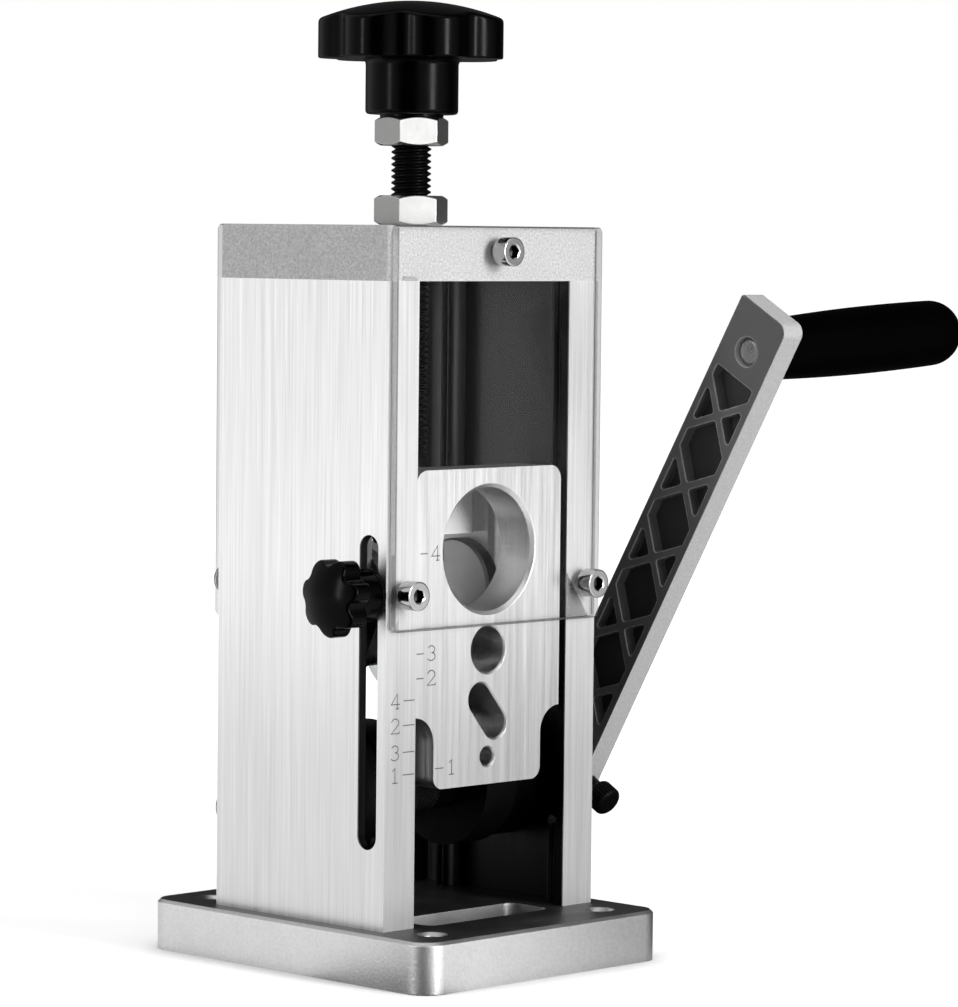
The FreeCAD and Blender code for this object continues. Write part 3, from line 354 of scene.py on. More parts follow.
# ---------------------------------------------------------------- node groups and finishes
class Nodes:
    """Short calls for making a node tree; a value is a socket or a plain number or colour."""

    def __init__(self, tree: bpy.types.NodeTree) -> None:
        """Keeps the tree that the calls add to."""
        self.tree = tree

    def add(self, kind: str, **values: object) -> bpy.types.Node:
        """Adds a node and sets its properties."""
        node = self.tree.nodes.new(kind)
        for key, value in values.items():
            setattr(node, key, value)
        return node

    def link(self, source: Socket, target: Socket) -> None:
        """Joins two sockets."""
        self.tree.links.new(source, target)

    def feed(self, target: Socket, value: object) -> None:
        """Joins a socket to the target, or sets the target's own value."""
        if isinstance(value, Socket):
            self.link(value, target)
        else:
            target.default_value = value

    def maths(self, operation: str, a: object, b: object = None, clamp: bool = False) -> Socket:
        """A Math node of one or two values."""
        node = self.add("ShaderNodeMath", operation=operation, use_clamp=clamp)
        for target, value in zip(node.inputs, (a, b)):
            if value is not None:
                self.feed(target, value)
        return node.outputs[0]

    def times(self, *factors: object) -> Socket:
        """The product of several values."""
        product = factors[0]
        for factor in factors[1:]:
            product = self.maths("MULTIPLY", product, factor)
        return product

    def rest(self, value: object) -> Socket:
        """What a value leaves of one."""
        return self.maths("SUBTRACT", 1.0, value)

    def vector(self, operation: str, a: Socket, b: object = None, out: str = "Vector") -> Socket:
        """A Vector Math node of one or two vectors; out names the output to use."""
        node = self.add("ShaderNodeVectorMath", operation=operation)
        self.link(a, node.inputs[0])
        if b is not None:
            self.feed(node.inputs[1], b)
        return node.outputs[out]

    def dot(self, a: Socket, b: object) -> Socket:
        """The dot product of two vectors."""
        return self.vector("DOT_PRODUCT", a, b, "Value")

    def noise(self, where: Socket, scale: object, detail: float, rough: float = 0.5) -> Socket:
        """Noise at a place."""
        node = self.add("ShaderNodeTexNoise")
        values = {"Vector": where, "Scale": scale, "Detail": detail, "Roughness": rough}
        for label, value in values.items():
            self.feed(node.inputs[label], value)
        return node.outputs[0]

    def blend(self, factor: object, a: object, b: object) -> Socket:
        """A colour between a and b."""
        node = self.add("ShaderNodeMix", data_type="RGBA")
        for i, value in ((0, factor), (6, a), (7, b)):
            self.feed(node.inputs[i], value)
        return node.outputs[2]

    def ramp(self, value: Socket, start: float, end: float, low: float = 0.0,
             high: float = 1.0) -> Socket:
        """A smooth climb from low at start to high at end."""
        node = self.add("ShaderNodeMapRange", interpolation_type="SMOOTHSTEP")
        for target, number in zip(node.inputs, (value, start, end, low, high)):
            self.feed(target, number)
        return node.outputs[0]

    def spread(self, value: Socket, low: float, high: float) -> Socket:
        """A 0 to 1 value stretched to run from low to high."""
        node = self.add("ShaderNodeMapRange", clamp=True)
        for i, number in ((0, value), (3, low), (4, high)):
            self.feed(node.inputs[i], number)
        return node.outputs[0]

    def scaled(self, colour: Socket, share: Socket) -> Socket:
        """A colour times a share."""
        node = self.add("ShaderNodeVectorMath", operation="SCALE")
        self.link(colour, node.inputs[0])
        self.link(share, node.inputs["Scale"])
        return node.outputs[0]

    def parts(self, vector: Socket) -> bpy.types.NodeOutputs:
        """The three parts of a vector."""
        node = self.add("ShaderNodeSeparateXYZ")
        self.link(vector, node.inputs[0])
        return node.outputs

    def in_piece(self, normal: Socket) -> Socket:
        """A normal of the world in the piece's own directions."""
        node = self.add("ShaderNodeVectorTransform", vector_type="NORMAL",
                        convert_from="WORLD", convert_to="OBJECT")
        self.link(normal, node.inputs[0])
        return node.outputs[0]


def new_group(name: str, inputs: Sequence[tuple[str, str, object]],
              outputs: Sequence[tuple[str, str]]) -> tuple[bpy.types.NodeTree, Nodes, dict, dict]:
    """An empty shader group with its sockets.

    Args:
        name: name of the group.
        inputs: (name, socket type, default) of each input; a default of None sets none.
        outputs: (name, socket type) of each output.

    Returns:
        The tree, its maker, and its input and output sockets by name.
    """
    tree = bpy.data.node_groups.new(name, "ShaderNodeTree")
    for label, kind, default in inputs:
        socket = tree.interface.new_socket(label, in_out="INPUT", socket_type=kind)
        if default is not None:
            socket.default_value = default
    for label, kind in outputs:
        tree.interface.new_socket(label, in_out="OUTPUT", socket_type=kind)
    nodes = Nodes(tree)
    start, end = nodes.add("NodeGroupInput"), nodes.add("NodeGroupOutput")
    return tree, nodes, {s.name: s for s in start.outputs}, {s.name: s for s in end.inputs}


def grain_group() -> bpy.types.NodeTree:
    """Drawn-out grain: noise on coordinates that are squeezed along the grain.

    The tone is fine noise plus a smaller share of coarser noise, so wide and narrow streaks
    lie side by side. The cube of a third noise's distance from its middle adds a single
    bright or dark scratch where that noise is far out.
    """
    tree, n, given, out = new_group("grain", [("Vector", VECTOR, None), ("Fine", VALUE, 900.0)],
                                    [("Tone", VALUE), ("Height", VALUE)])
    coarse_scale, coarse_share, scratch_scale, scratch_depth = 0.22, 0.38, 0.6, 60.0
    where, scale = given["Vector"], given["Fine"]
    fine = n.noise(where, scale, 2.0)
    coarse = n.noise(where, n.times(scale, coarse_scale), 3.0)
    mixed = n.maths("ADD", n.times(fine, 1 - coarse_share), n.times(coarse, coarse_share))
    off = n.maths("SUBTRACT", n.noise(where, n.times(scale, scratch_scale), 1.0), 0.5)
    scratch = n.times(off, off, off, scratch_depth)
    n.link(n.maths("ADD", n.spread(mixed, -0.9, 1.9), scratch), out["Tone"])
    n.link(fine, out["Height"])
    return tree


def speckle_group() -> bpy.types.NodeTree:
    """Blasted or cast skin: even fine noise, with a soft blotch of a few millimetres."""
    tree, n, given, out = new_group("speckle", [("Vector", VECTOR, None), ("Fine", VALUE, 2200.0)],
                                    [("Tone", VALUE), ("Height", VALUE), ("Blotch", VALUE)])
    fine = n.noise(given["Vector"], given["Fine"], 3.0, 0.6)
    soft = n.noise(given["Vector"], 90.0, 4.0)
    n.link(n.spread(fine, -0.6, 1.6), out["Tone"])
    n.link(fine, out["Height"])
    n.link(n.spread(soft, -0.5, 1.5), out["Blotch"])
    return tree


def edge_group() -> bpy.types.NodeTree:
    """Rubbed edges: one where a rounded normal departs from the face's own, broken by noise.

    The normal is the rounded one, or the face's true one on faces square to the piece's axes.
    """
    tree, n, given, out = new_group("rubbed_edge",
                                    [("Vector", VECTOR, None), ("Width", VALUE, 0.0005)],
                                    [("Mask", VALUE), ("Normal", VECTOR)])
    square_from, rub = 0.9998, 5.0
    bevel = n.add("ShaderNodeBevel", samples=4)
    n.link(given["Width"], bevel.inputs["Radius"])
    rounded = bevel.outputs[0]
    own = n.add("ShaderNodeNewGeometry").outputs["True Normal"]
    x, y, z = n.parts(n.vector("ABSOLUTE", n.in_piece(own)))
    most = n.maths("MAXIMUM", n.maths("MAXIMUM", x, y), z)
    square = n.maths("GREATER_THAN", most, square_from)
    bare = n.maths("MULTIPLY", n.rest(n.dot(rounded, own)), rub, clamp=True)
    broken = n.spread(n.noise(given["Vector"], 600.0, 2.0), -0.2, 1.6)
    n.link(n.maths("MULTIPLY", bare, broken, clamp=True), out["Mask"])
    normal = n.add("ShaderNodeMix", data_type="VECTOR")
    for i, source in ((0, square), (4, rounded), (5, own)):
        n.link(source, normal.inputs[i])
    n.link(normal.outputs[1], out["Normal"])
    return tree


def within_group() -> bpy.types.NodeTree:
    """One inside an upright tube, where |x| and |y| are both less than the half sizes.

    The second value climbs smoothly from nought low down to one high up.
    """
    tree, n, given, out = new_group(
        "within", [("Vector", VECTOR, None), ("Half X", VALUE, 0.0356), ("Half Y", VALUE, 0.0291)],
        [("Mask", VALUE), ("Rise", VALUE)])
    bottom, top = 0.04, 0.11
    x, y, z = n.parts(given["Vector"])
    in_x = n.maths("LESS_THAN", n.maths("ABSOLUTE", x), given["Half X"])
    in_y = n.maths("LESS_THAN", n.maths("ABSOLUTE", y), given["Half Y"])
    n.link(n.times(in_x, in_y), out["Mask"])
    n.link(n.ramp(z, bottom, top), out["Rise"])
    return tree


def facing_group() -> bpy.types.NodeTree:
    """One where the surface looks along a direction of the piece, by the dot product of both."""
    tree, n, given, out = new_group("facing", [("Direction", VECTOR, None)], [("Mask", VALUE)])
    beside, square = 0.6, 0.9
    normal = n.add("ShaderNodeTexCoord").outputs["Normal"]
    n.link(n.ramp(n.dot(normal, given["Direction"]), beside, square), out["Mask"])
    return tree


@dataclass(frozen=True)
class DarkCard:
    """A dark upright card in the surroundings, by azimuth in degrees from +X towards +Y.

    It begins at the angle edge from its middle and is full from the angle core inwards, where
    it hides the given share of the white.
    """

    azimuth: float
    edge: float
    core: float
    share: float


CARD_BEHIND = DarkCard(22.0, 84.0, 42.0, 0.94)
CARD_IN_FRONT = DarkCard(216.0, 30.0, 14.0, 0.95)


def dark_cards_group() -> bpy.types.NodeTree:
    """How much of the white surroundings a dark card hides, by the direction seen from the object.

    A card stands behind on the right and a narrower one near the viewer. For each, the value is
    a smooth step of the dot product of the level direction and the card's own direction.
    """
    tree, n, given, out = new_group("dark_cards", [("Vector", VECTOR, None)], [("Mask", VALUE)])
    level = n.vector("NORMALIZE", n.vector("MULTIPLY", given["Vector"], (1, 1, 0)))
    masks = []
    for card in (CARD_BEHIND, CARD_IN_FRONT):
        middle, edge, core = (math.radians(v) for v in (card.azimuth, card.edge, card.core))
        along = n.dot(level, (math.cos(middle), math.sin(middle), 0))
        masks.append(n.ramp(along, math.cos(edge), math.cos(core), 0.0, card.share))
    n.link(n.maths("MAXIMUM", *masks), out["Mask"])
    return tree


class Shop:
    """The shared groups and the finished materials, each made once."""

    makers: dict[str, Callable[[], bpy.types.NodeTree]] = {
        "grain": grain_group, "speckle": speckle_group, "rubbed_edge": edge_group,
        "within": within_group, "facing": facing_group, "dark_cards": dark_cards_group}
    made: dict[str, bpy.types.NodeTree] = {}
    finishes: dict[str, bpy.types.Material] = {}

    @classmethod
    def group(cls, name: str) -> bpy.types.NodeTree:
        """The group of that name, made on first use."""
        if name not in cls.made:
            cls.made[name] = cls.makers[name]()
        return cls.made[name]


@dataclass(frozen=True)
class Finish:
    """A finish with a base colour; the subclasses add what its surface shows."""

    name: str
    colour: tuple[float, float, float]
    rough: float = 0.4
    metal: float = 0.0
    specular: float = 0.5

    def make(self) -> bpy.types.Material:
        """The material, made on first use and then shared."""
        if self.name in Shop.finishes:
            return Shop.finishes[self.name]
        material = Shop.finishes[self.name] = bpy.data.materials.new(self.name)
        material.use_nodes = True
        nodes = Nodes(material.node_tree)
        shader = material.node_tree.nodes["Principled BSDF"]
        shader.inputs["Base Color"].default_value = (*self.colour, 1)
        shader.inputs["Roughness"].default_value = self.rough
        shader.inputs["Metallic"].default_value = self.metal
        shader.inputs["Specular IOR Level"].default_value = self.specular
        where = nodes.add("ShaderNodeTexCoord").outputs["Object"]
        self.dress(nodes, shader, where)
        return material

    def dress(self, n: Nodes, shader: bpy.types.Node, where: Socket) -> None:
        """Adds the surface's own detail.

        Args:
            n: maker for the material's tree.
            shader: the Principled node.
            where: Object coordinates.
        """

    def tint(self, share: float) -> tuple[float, float, float, float]:
        """The base colour times a share."""
        return (*(min(1.0, c * share) for c in self.colour), 1.0)

    def use(self, n: Nodes, group: str, where: Socket | None, **values: object) -> bpy.types.Node:
        """Places a shared group with its own values, its Vector fed from where."""
        node = n.add("ShaderNodeGroup", node_tree=Shop.group(group))
        if where is not None:
            n.link(where, node.inputs["Vector"])
        for key, value in values.items():
            node.inputs[key.replace("_", " ").title()].default_value = value
        return node

    def facing(self, n: Nodes, way: Sequence[float]) -> Socket:
        """One on the faces that look that way."""
        return self.use(n, "facing", None, direction=way).outputs["Mask"]

    def roughen(self, n: Nodes, shader: bpy.types.Node, value: Socket, less: float,
                more: float) -> None:
        """Moves the roughness about the finish's own with a 0 to 1 value."""
        n.link(n.spread(value, self.rough - less, self.rough + more), shader.inputs["Roughness"])

    def bump(self, n: Nodes, shader: bpy.types.Node, height: Socket, depth: float,
             normal: Socket | None = None) -> None:
        """Feeds a height of the given depth in metres to the shader's normal."""
        node = n.add("ShaderNodeBump")
        node.inputs["Strength"].default_value = 1.0
        node.inputs["Distance"].default_value = depth
        n.link(height, node.inputs["Height"])
        if normal is not None:
            n.link(normal, node.inputs["Normal"])
        n.link(node.outputs[0], shader.inputs["Normal"])


@dataclass(frozen=True)
class Brushed(Finish):
    """Metal with a long straight upright grain, bright outside and with painted shade inside the
    tower.

    The stretch is the coordinates' scale, small along the grain. Below the low shade ramp the
    colour takes low_shade_share, painted shade towards the base: the first number on other faces
    and the second on the left ones. The back strip is the ramp, along Y, that brightens the
    painted shade of the inner left-facing wall near the back.
    """

    stretch: tuple[float, float, float] = (1.0, 1.0, 0.012)
    fine: float = 900.0
    contrast: float = 0.12
    depth: float = 0.000012
    edge: float = 1.12
    edge_width: float = 0.0004
    # Painted shade towards the base: its height ramp, and its shares on other and on left faces.
    low_shade_ramp: tuple[float, float] = (0.045, 0.105)
    low_shade_share: tuple[float, float] = (0.66, 0.80)
    front_metal: float = 1.0
    # Painted shade inside the tower: its colour, share low down, extra loss on left faces, back
    # strip.
    inside: tuple[float, float, float] | None = None
    inside_shade_low: float = 0.2
    inside_shade_side_loss: float = 0.62
    back_strip: tuple[float, float, float, float] = (0.0190, 0.0200, 0.0, 2.4)

    def dress(self, n: Nodes, shader: bpy.types.Node, where: Socket) -> None:
        """Streaks in colour, roughness and height, and lighter rubbed edges."""
        mapping = n.add("ShaderNodeMapping")
        mapping.inputs["Scale"].default_value = self.stretch
        n.link(where, mapping.inputs["Vector"])
        grain = self.use(n, "grain", mapping.outputs[0], fine=self.fine)
        rubbed = self.use(n, "rubbed_edge", where, width=self.edge_width)
        side, front = self.facing(n, (-1, 0, 0)), self.facing(n, (0, -1, 0))
        colour = n.blend(grain.outputs["Tone"], self.tint(1 - self.contrast),
                         self.tint(1 + self.contrast * 0.6))
        colour = n.blend(rubbed.outputs["Mask"], colour, self.tint(self.edge))
        # Painted shade towards the base, deeper on faces other than the left ones.
        colour = n.scaled(colour, self.low_shade_level(n, where, side))
        # Painted shade inside the tower, darkest low down.
        if self.inside is not None:
            colour = self.shaded_inside(n, where, side, colour)
        if self.front_metal < 1.0:
            n.link(n.rest(n.times(front, 1 - self.front_metal)), shader.inputs["Metallic"])
        n.link(colour, shader.inputs["Base Color"])
        self.roughen(n, shader, grain.outputs["Tone"], 0.06, 0.08)
        self.bump(n, shader, grain.outputs["Height"], self.depth, rubbed.outputs["Normal"])

    def low_shade_level(self, n: Nodes, where: Socket, side: Socket) -> Socket:
        """The share of colour by height: painted shade that deepens towards the base."""
        height = n.parts(where)[2]
        other, left = (n.ramp(height, *self.low_shade_ramp, share) for share in self.low_shade_share)
        return n.maths("ADD", other, n.times(side, n.maths("SUBTRACT", left, other)))

    def shaded_inside(self, n: Nodes, where: Socket, side: Socket, colour: Socket) -> Socket:
        """The colour with painted shade inside the tower, darkest low down."""
        within = self.use(n, "within", where)
        back = n.ramp(n.parts(where)[1], *self.back_strip)
        level = n.rest(n.times(side, n.maths("SUBTRACT", self.inside_shade_side_loss, back)))
        low = (*(c * self.inside_shade_low for c in self.inside), 1)
        painted_shade = n.scaled(n.blend(within.outputs["Rise"], low, (*self.inside, 1)), level)
        return n.blend(within.outputs["Mask"], colour, painted_shade)


@dataclass(frozen=True)
class Worked(Finish):
    """Worked metal: its edges are rubbed lighter, and faces that look one way may take painted
    shade.
    """

    edge: float = 1.15
    edge_width: float = 0.00025
    # Share of colour left by the painted shade, and the way the shaded faces look.
    painted_shade: float = 1.0
    shade_towards: tuple[float, float, float] = (-1, 0, 0)

    def worn_and_shaded(self, n: Nodes, colour: Socket, rubbed: bpy.types.Node) -> Socket:
        """The colour, with painted shade on the faces that look one way and lighter on rubbed
        edges.
        """
        if self.painted_shade < 1.0:
            colour = n.blend(self.facing(n, self.shade_towards), colour, self.tint(self.painted_shade))
        return n.blend(rubbed.outputs["Mask"], colour, self.tint(self.edge))


@dataclass(frozen=True)
class Blasted(Worked):
    """Bead-blasted or cast metal: fine speckle, soft blotches and lighter rubbed edges."""

    edge: float = 1.25
    edge_width: float = 0.0005
    # By default the painted shade falls on the top faces.
    shade_towards: tuple[float, float, float] = (0, 0, 1)
    fine: float = 2200.0
    contrast: float = 0.18
    depth: float = 0.00005

    def dress(self, n: Nodes, shader: bpy.types.Node, where: Socket) -> None:
        """Speckle in colour and height, and blotches in colour and roughness."""
        skin = self.use(n, "speckle", where, fine=self.fine)
        rubbed = self.use(n, "rubbed_edge", where, width=self.edge_width)
        blotch_share, blotch_tint = 0.3, 0.85
        colour = n.blend(skin.outputs["Tone"], self.tint(1 - self.contrast),
                         self.tint(1 + self.contrast))
        colour = n.blend(n.times(skin.outputs["Blotch"], blotch_share), colour,
                         self.tint(blotch_tint))
        # Painted shade by facing, lighter rubbed edges, and any painted shade of a subclass.
        colour = self.shade(n, where, self.worn_and_shaded(n, colour, rubbed))
        n.link(colour, shader.inputs["Base Color"])
        self.roughen(n, shader, skin.outputs["Blotch"], 0.06, 0.08)
        self.bump(n, shader, skin.outputs["Height"], self.depth, rubbed.outputs["Normal"])

    def shade(self, n: Nodes, where: Socket, colour: Socket) -> Socket:
        """The colour as it is; a subclass may paint shade into parts of it."""
        return colour


@dataclass(frozen=True)
class ShadedFrontPlate(Blasted):
    """A blasted plate with painted shade on its front face, darker from left to right, by the ramp
    fade along X.
    """

    # Ramp along X of the painted shade on the front face, and the shares at its two ends.
    fade: tuple[float, float, float, float] = (-0.03, 0.04, 0.92, 0.56)

    def shade(self, n: Nodes, where: Socket, colour: Socket) -> Socket:
        """Paints shade on the front face, darker from left to right."""
        loss = n.rest(n.ramp(n.parts(where)[0], *self.fade))
        return n.scaled(colour, n.rest(n.times(self.facing(n, (0, -1, 0)), loss)))


@dataclass(frozen=True)
class CastArm(Blasted):
    """The crank's casting with painted shade: darker pockets, and an inner face that darkens
    towards the foot.

    With a the arm's lean, a point's place along the arm is its dot product with
    (0, -sin a, cos a) and its place across with (0, cos a, sin a), both less the shaft's own.
    """

    # Place, run and half width of the pockets, and the share of colour their painted shade leaves.
    pocket: tuple[float, float] = (0.0548, 0.0579)
    pocket_run: tuple[float, float] = (0.0138, 0.1172)
    pocket_half: float = 0.0078
    pocket_shade_share: float = 0.30
    # Run along the arm, and share of colour left by the painted shade towards the foot.
    foot_shade_run: tuple[float, float] = (-0.01, 0.12)
    foot_shade_share: float = 0.38

    def shade(self, n: Nodes, where: Socket, colour: Socket) -> Socket:
        """Paints shade into the pockets and, by degrees, onto the foot's end of the inner face."""
        a = math.radians(CRANK_TILT)
        along, across = (n.maths("SUBTRACT", n.dot(where, way), SHAFT_Z * MM * way[2])
                         for way in ((0, -math.sin(a), math.cos(a)), (0, math.cos(a), math.sin(a))))
        inside = n.maths("LESS_THAN", n.maths("ABSOLUTE", across), self.pocket_half)
        for value, (low, high) in ((n.parts(where)[0], self.pocket), (along, self.pocket_run)):
            inside = n.times(inside, n.maths("GREATER_THAN", value, low),
                             n.maths("LESS_THAN", value, high))
        face = self.facing(n, self.shade_towards)
        foot = n.maths("ADD", n.times(face, n.ramp(along, *self.foot_shade_run, self.foot_shade_share)),
                       n.rest(face))
        return n.scaled(colour, n.times(foot, n.rest(n.times(inside, 1 - self.pocket_shade_share))))


@dataclass(frozen=True)
class Plated(Worked):
    """Bright turned or plated steel: faint fine noise in tone and roughness, lighter edges."""

    fine: float = 700.0
    depth: float = 0.000006

    def dress(self, n: Nodes, shader: bpy.types.Node, where: Socket) -> None:
        """Small changes of tone, and a rounded look at the edges."""
        skin = self.use(n, "speckle", where, fine=self.fine)
        rubbed = self.use(n, "rubbed_edge", where, width=self.edge_width)
        colour = n.blend(skin.outputs["Blotch"], self.tint(0.9), self.tint(1.05))
        # Painted shade on faces that look one way, and lighter rubbed edges.
        n.link(self.worn_and_shaded(n, colour, rubbed), shader.inputs["Base Color"])
        self.roughen(n, shader, skin.outputs["Tone"], 0.05, 0.07)
        self.bump(n, shader, skin.outputs["Height"], self.depth, rubbed.outputs["Normal"])


@dataclass(frozen=True)
class Moulded(Finish):
    """Moulded plastic: an almost even black with faint haze and a slightly uneven gloss."""

    haze: float = 1.5
    fine: float = 1500.0
    depth: float = 0.000008

    def dress(self, n: Nodes, shader: bpy.types.Node, where: Socket) -> None:
        """Haze in blotches, and a very fine skin."""
        skin = self.use(n, "speckle", where, fine=self.fine)
        colour = n.blend(skin.outputs["Blotch"], self.tint(0.8), self.tint(self.haze))
        n.link(colour, shader.inputs["Base Color"])
        self.roughen(n, shader, skin.outputs["Blotch"], 0.04, 0.06)
        self.bump(n, shader, skin.outputs["Height"], self.depth)


@dataclass(frozen=True)
class ClearSheet(Finish):
    """Polished clear acrylic: almost no gloss but at a slant, and bright sawn edges.

    The share of gloss on a broad face is a small floor plus the fifth power of how far the face
    turns away, the same from inside and outside. A thin dark line of painted shade runs round the
    broad faces, which reach half to both sides and from low to high, in metres.
    """

    faces: tuple[float, float, float] = (0, 1, 0)
    broad_from: float = 0.7
    floor: tuple[float, float] = (0.002, 0.006)
    smears: tuple[float, float] = (0.01, 0.06)
    slant_power: float = 5.0
    edge_share: float = 0.5
    half: float = 0.0352
    low: float = 0.0837
    high: float = 0.1799
    # Width, share and tone of the thin line of painted shade round the broad faces.
    line: float = 0.0004
    rim_shade_share: float = 0.5
    rim_shade_tone: float = 0.22

    def dress(self, n: Nodes, shader: bpy.types.Node, where: Socket) -> None:
        """Alpha from the slant on the broad faces, a thin painted shade line round them, high on
        the edges.
        """
        flat = n.add("ShaderNodeNewGeometry").outputs["True Normal"]
        slant = n.add("ShaderNodeLayerWeight")
        slant.inputs["Blend"].default_value = 0.5
        n.link(flat, slant.inputs["Normal"])
        n.link(flat, shader.inputs["Normal"])
        smear = n.noise(where, 30.0, 4.0)
        n.link(n.spread(smear, *self.smears), shader.inputs["Roughness"])
        square = n.maths("ABSOLUTE", n.dot(n.in_piece(flat), self.faces))
        broad = n.maths("GREATER_THAN", square, self.broad_from)
        rim = self.rim(n, where)
        # The thin dark line round the broad faces is painted shade.
        n.link(n.blend(rim, self.tint(1.0), self.tint(self.rim_shade_tone)), shader.inputs["Base Color"])
        gloss = n.maths("ADD", n.maths("POWER", slant.outputs["Facing"], self.slant_power),
                        n.spread(smear, *self.floor))
        share = n.maths("MAXIMUM", gloss, n.times(rim, self.rim_shade_share))
        edges = n.times(n.rest(broad), self.edge_share)
        n.link(n.maths("ADD", n.times(broad, share), edges, clamp=True), shader.inputs["Alpha"])

    def rim(self, n: Nodes, where: Socket) -> Socket:
        """One on the thin line of painted shade round the broad faces."""
        x, _, z = n.parts(where)
        sides = n.maths("GREATER_THAN", n.maths("ABSOLUTE", x), self.half - self.line)
        foot = n.maths("LESS_THAN", z, self.low + self.line)
        top = n.maths("GREATER_THAN", z, self.high - self.line)
        return n.maths("MAXIMUM", n.maths("MAXIMUM", sides, foot), top)


def grey(level: float) -> tuple[float, float, float]:
    """A neutral colour."""
    return (level, level, level)


@dataclass(frozen=True)
class Palette:
    """Every finish of the object."""

    # inside is the painted shade colour of the tower's inner walls.
    channel: Finish = Brushed("brushed_channel", grey(0.72), 0.34, 1.0, fine=2800.0, contrast=0.11,
                              inside=grey(0.13), front_metal=0.3)
    guide: Finish = Brushed("brushed_guide", grey(0.74), 0.36, 1.0, fine=3000.0, contrast=0.09)
    cap: Finish = Blasted("blasted_cap", grey(0.60), 0.5, 0.1, 0.25, fine=1900.0, contrast=0.34)
    # The base has painted shade on its top faces and across its front face.
    base: Finish = ShadedFrontPlate("blasted_base", grey(0.58), 0.42, 1.0, fine=1500.0, contrast=0.10,
                              painted_shade=0.22)
    # The arm has painted shade on its left-facing inner face, its pockets and towards its foot.
    casting: Finish = CastArm("cast_arm", grey(0.52), 0.5, 0.1, 0.3, fine=1600.0, contrast=0.14,
                              painted_shade=0.26, shade_towards=(-1, 0, 0))
    carriage: Finish = Blasted("cast_carriage", grey(0.75), 0.5, 0.3, contrast=0.14)
    black_casting: Finish = Blasted("painted_bracket", grey(0.002), 0.45, 0.0, 0.05, contrast=0.3,
                                    edge=3.0)
    black_steel: Finish = Plated("black_oxide", grey(0.002), 0.30, 0.0, 0.05, edge=4.0)
    steel: Finish = Plated("turned_steel", (0.50, 0.50, 0.51), 0.28, 1.0)
    cheek: Finish = Plated("ground_cheek", grey(0.26), 0.40, 1.0)
    # Plated parts have painted shade on their left-facing faces.
    plated: Finish = Plated("zinc_plate", (0.86, 0.86, 0.85), 0.2, 1.0, painted_shade=0.33)
    chrome: Finish = Plated("bright_screws", grey(0.46), 0.10, 1.0)
    # socket_shade paints the screws' hex sockets near black, as shade in the recess.
    socket: Finish = Moulded("socket_shade", grey(0.004), 0.3, 0.0, 0.3)
    blade: Finish = Plated("ground_blade", (0.50, 0.51, 0.52), 0.2, 1.0)
    bronze: Finish = Plated("sintered_bush", (0.45, 0.28, 0.12), 0.4, 1.0)
    knob: Finish = Moulded("moulded_knob", grey(0.0001), 0.20, 0.0, 0.05, haze=1.2)
    grip: Finish = Moulded("moulded_grip", grey(0.0003), 0.34, 0.0, 0.01, depth=0.00002)
    ink: Finish = Moulded("engraving", grey(0.10), 0.6, haze=1.3)
    clear: Finish = ClearSheet("clear_acrylic", grey(1.0), 0.02, 1.0)


def dress_nodes(names: Sequence[str], finish: Finish) -> None:
    """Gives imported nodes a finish, in their own material slots."""
    for name in names:
        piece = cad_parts[name]
        material = finish.make()
        if not piece.material_slots:
            piece.data.materials.append(material)
        for slot in piece.material_slots:
            slot.material = material


def fit_piece(piece: bpy.types.Object, body: str, finish: Finish,
              replaces: Sequence[str] = ()) -> None:
    """Gives a new piece its finish, body and slot, and hides the nodes it stands for."""
    piece.data.materials.clear()
    piece.data.materials.append(finish.make())
    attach(piece, body)
    if replaces:
        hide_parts(*replaces)
    LOG.info("%s rides on %s", piece.name, body)


def box_of(node: str) -> tuple[np.ndarray, np.ndarray]:
    """Least and greatest corner of a node's box, in millimetres."""
    low, high = (np.array(corner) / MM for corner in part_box(node))
    return low, high


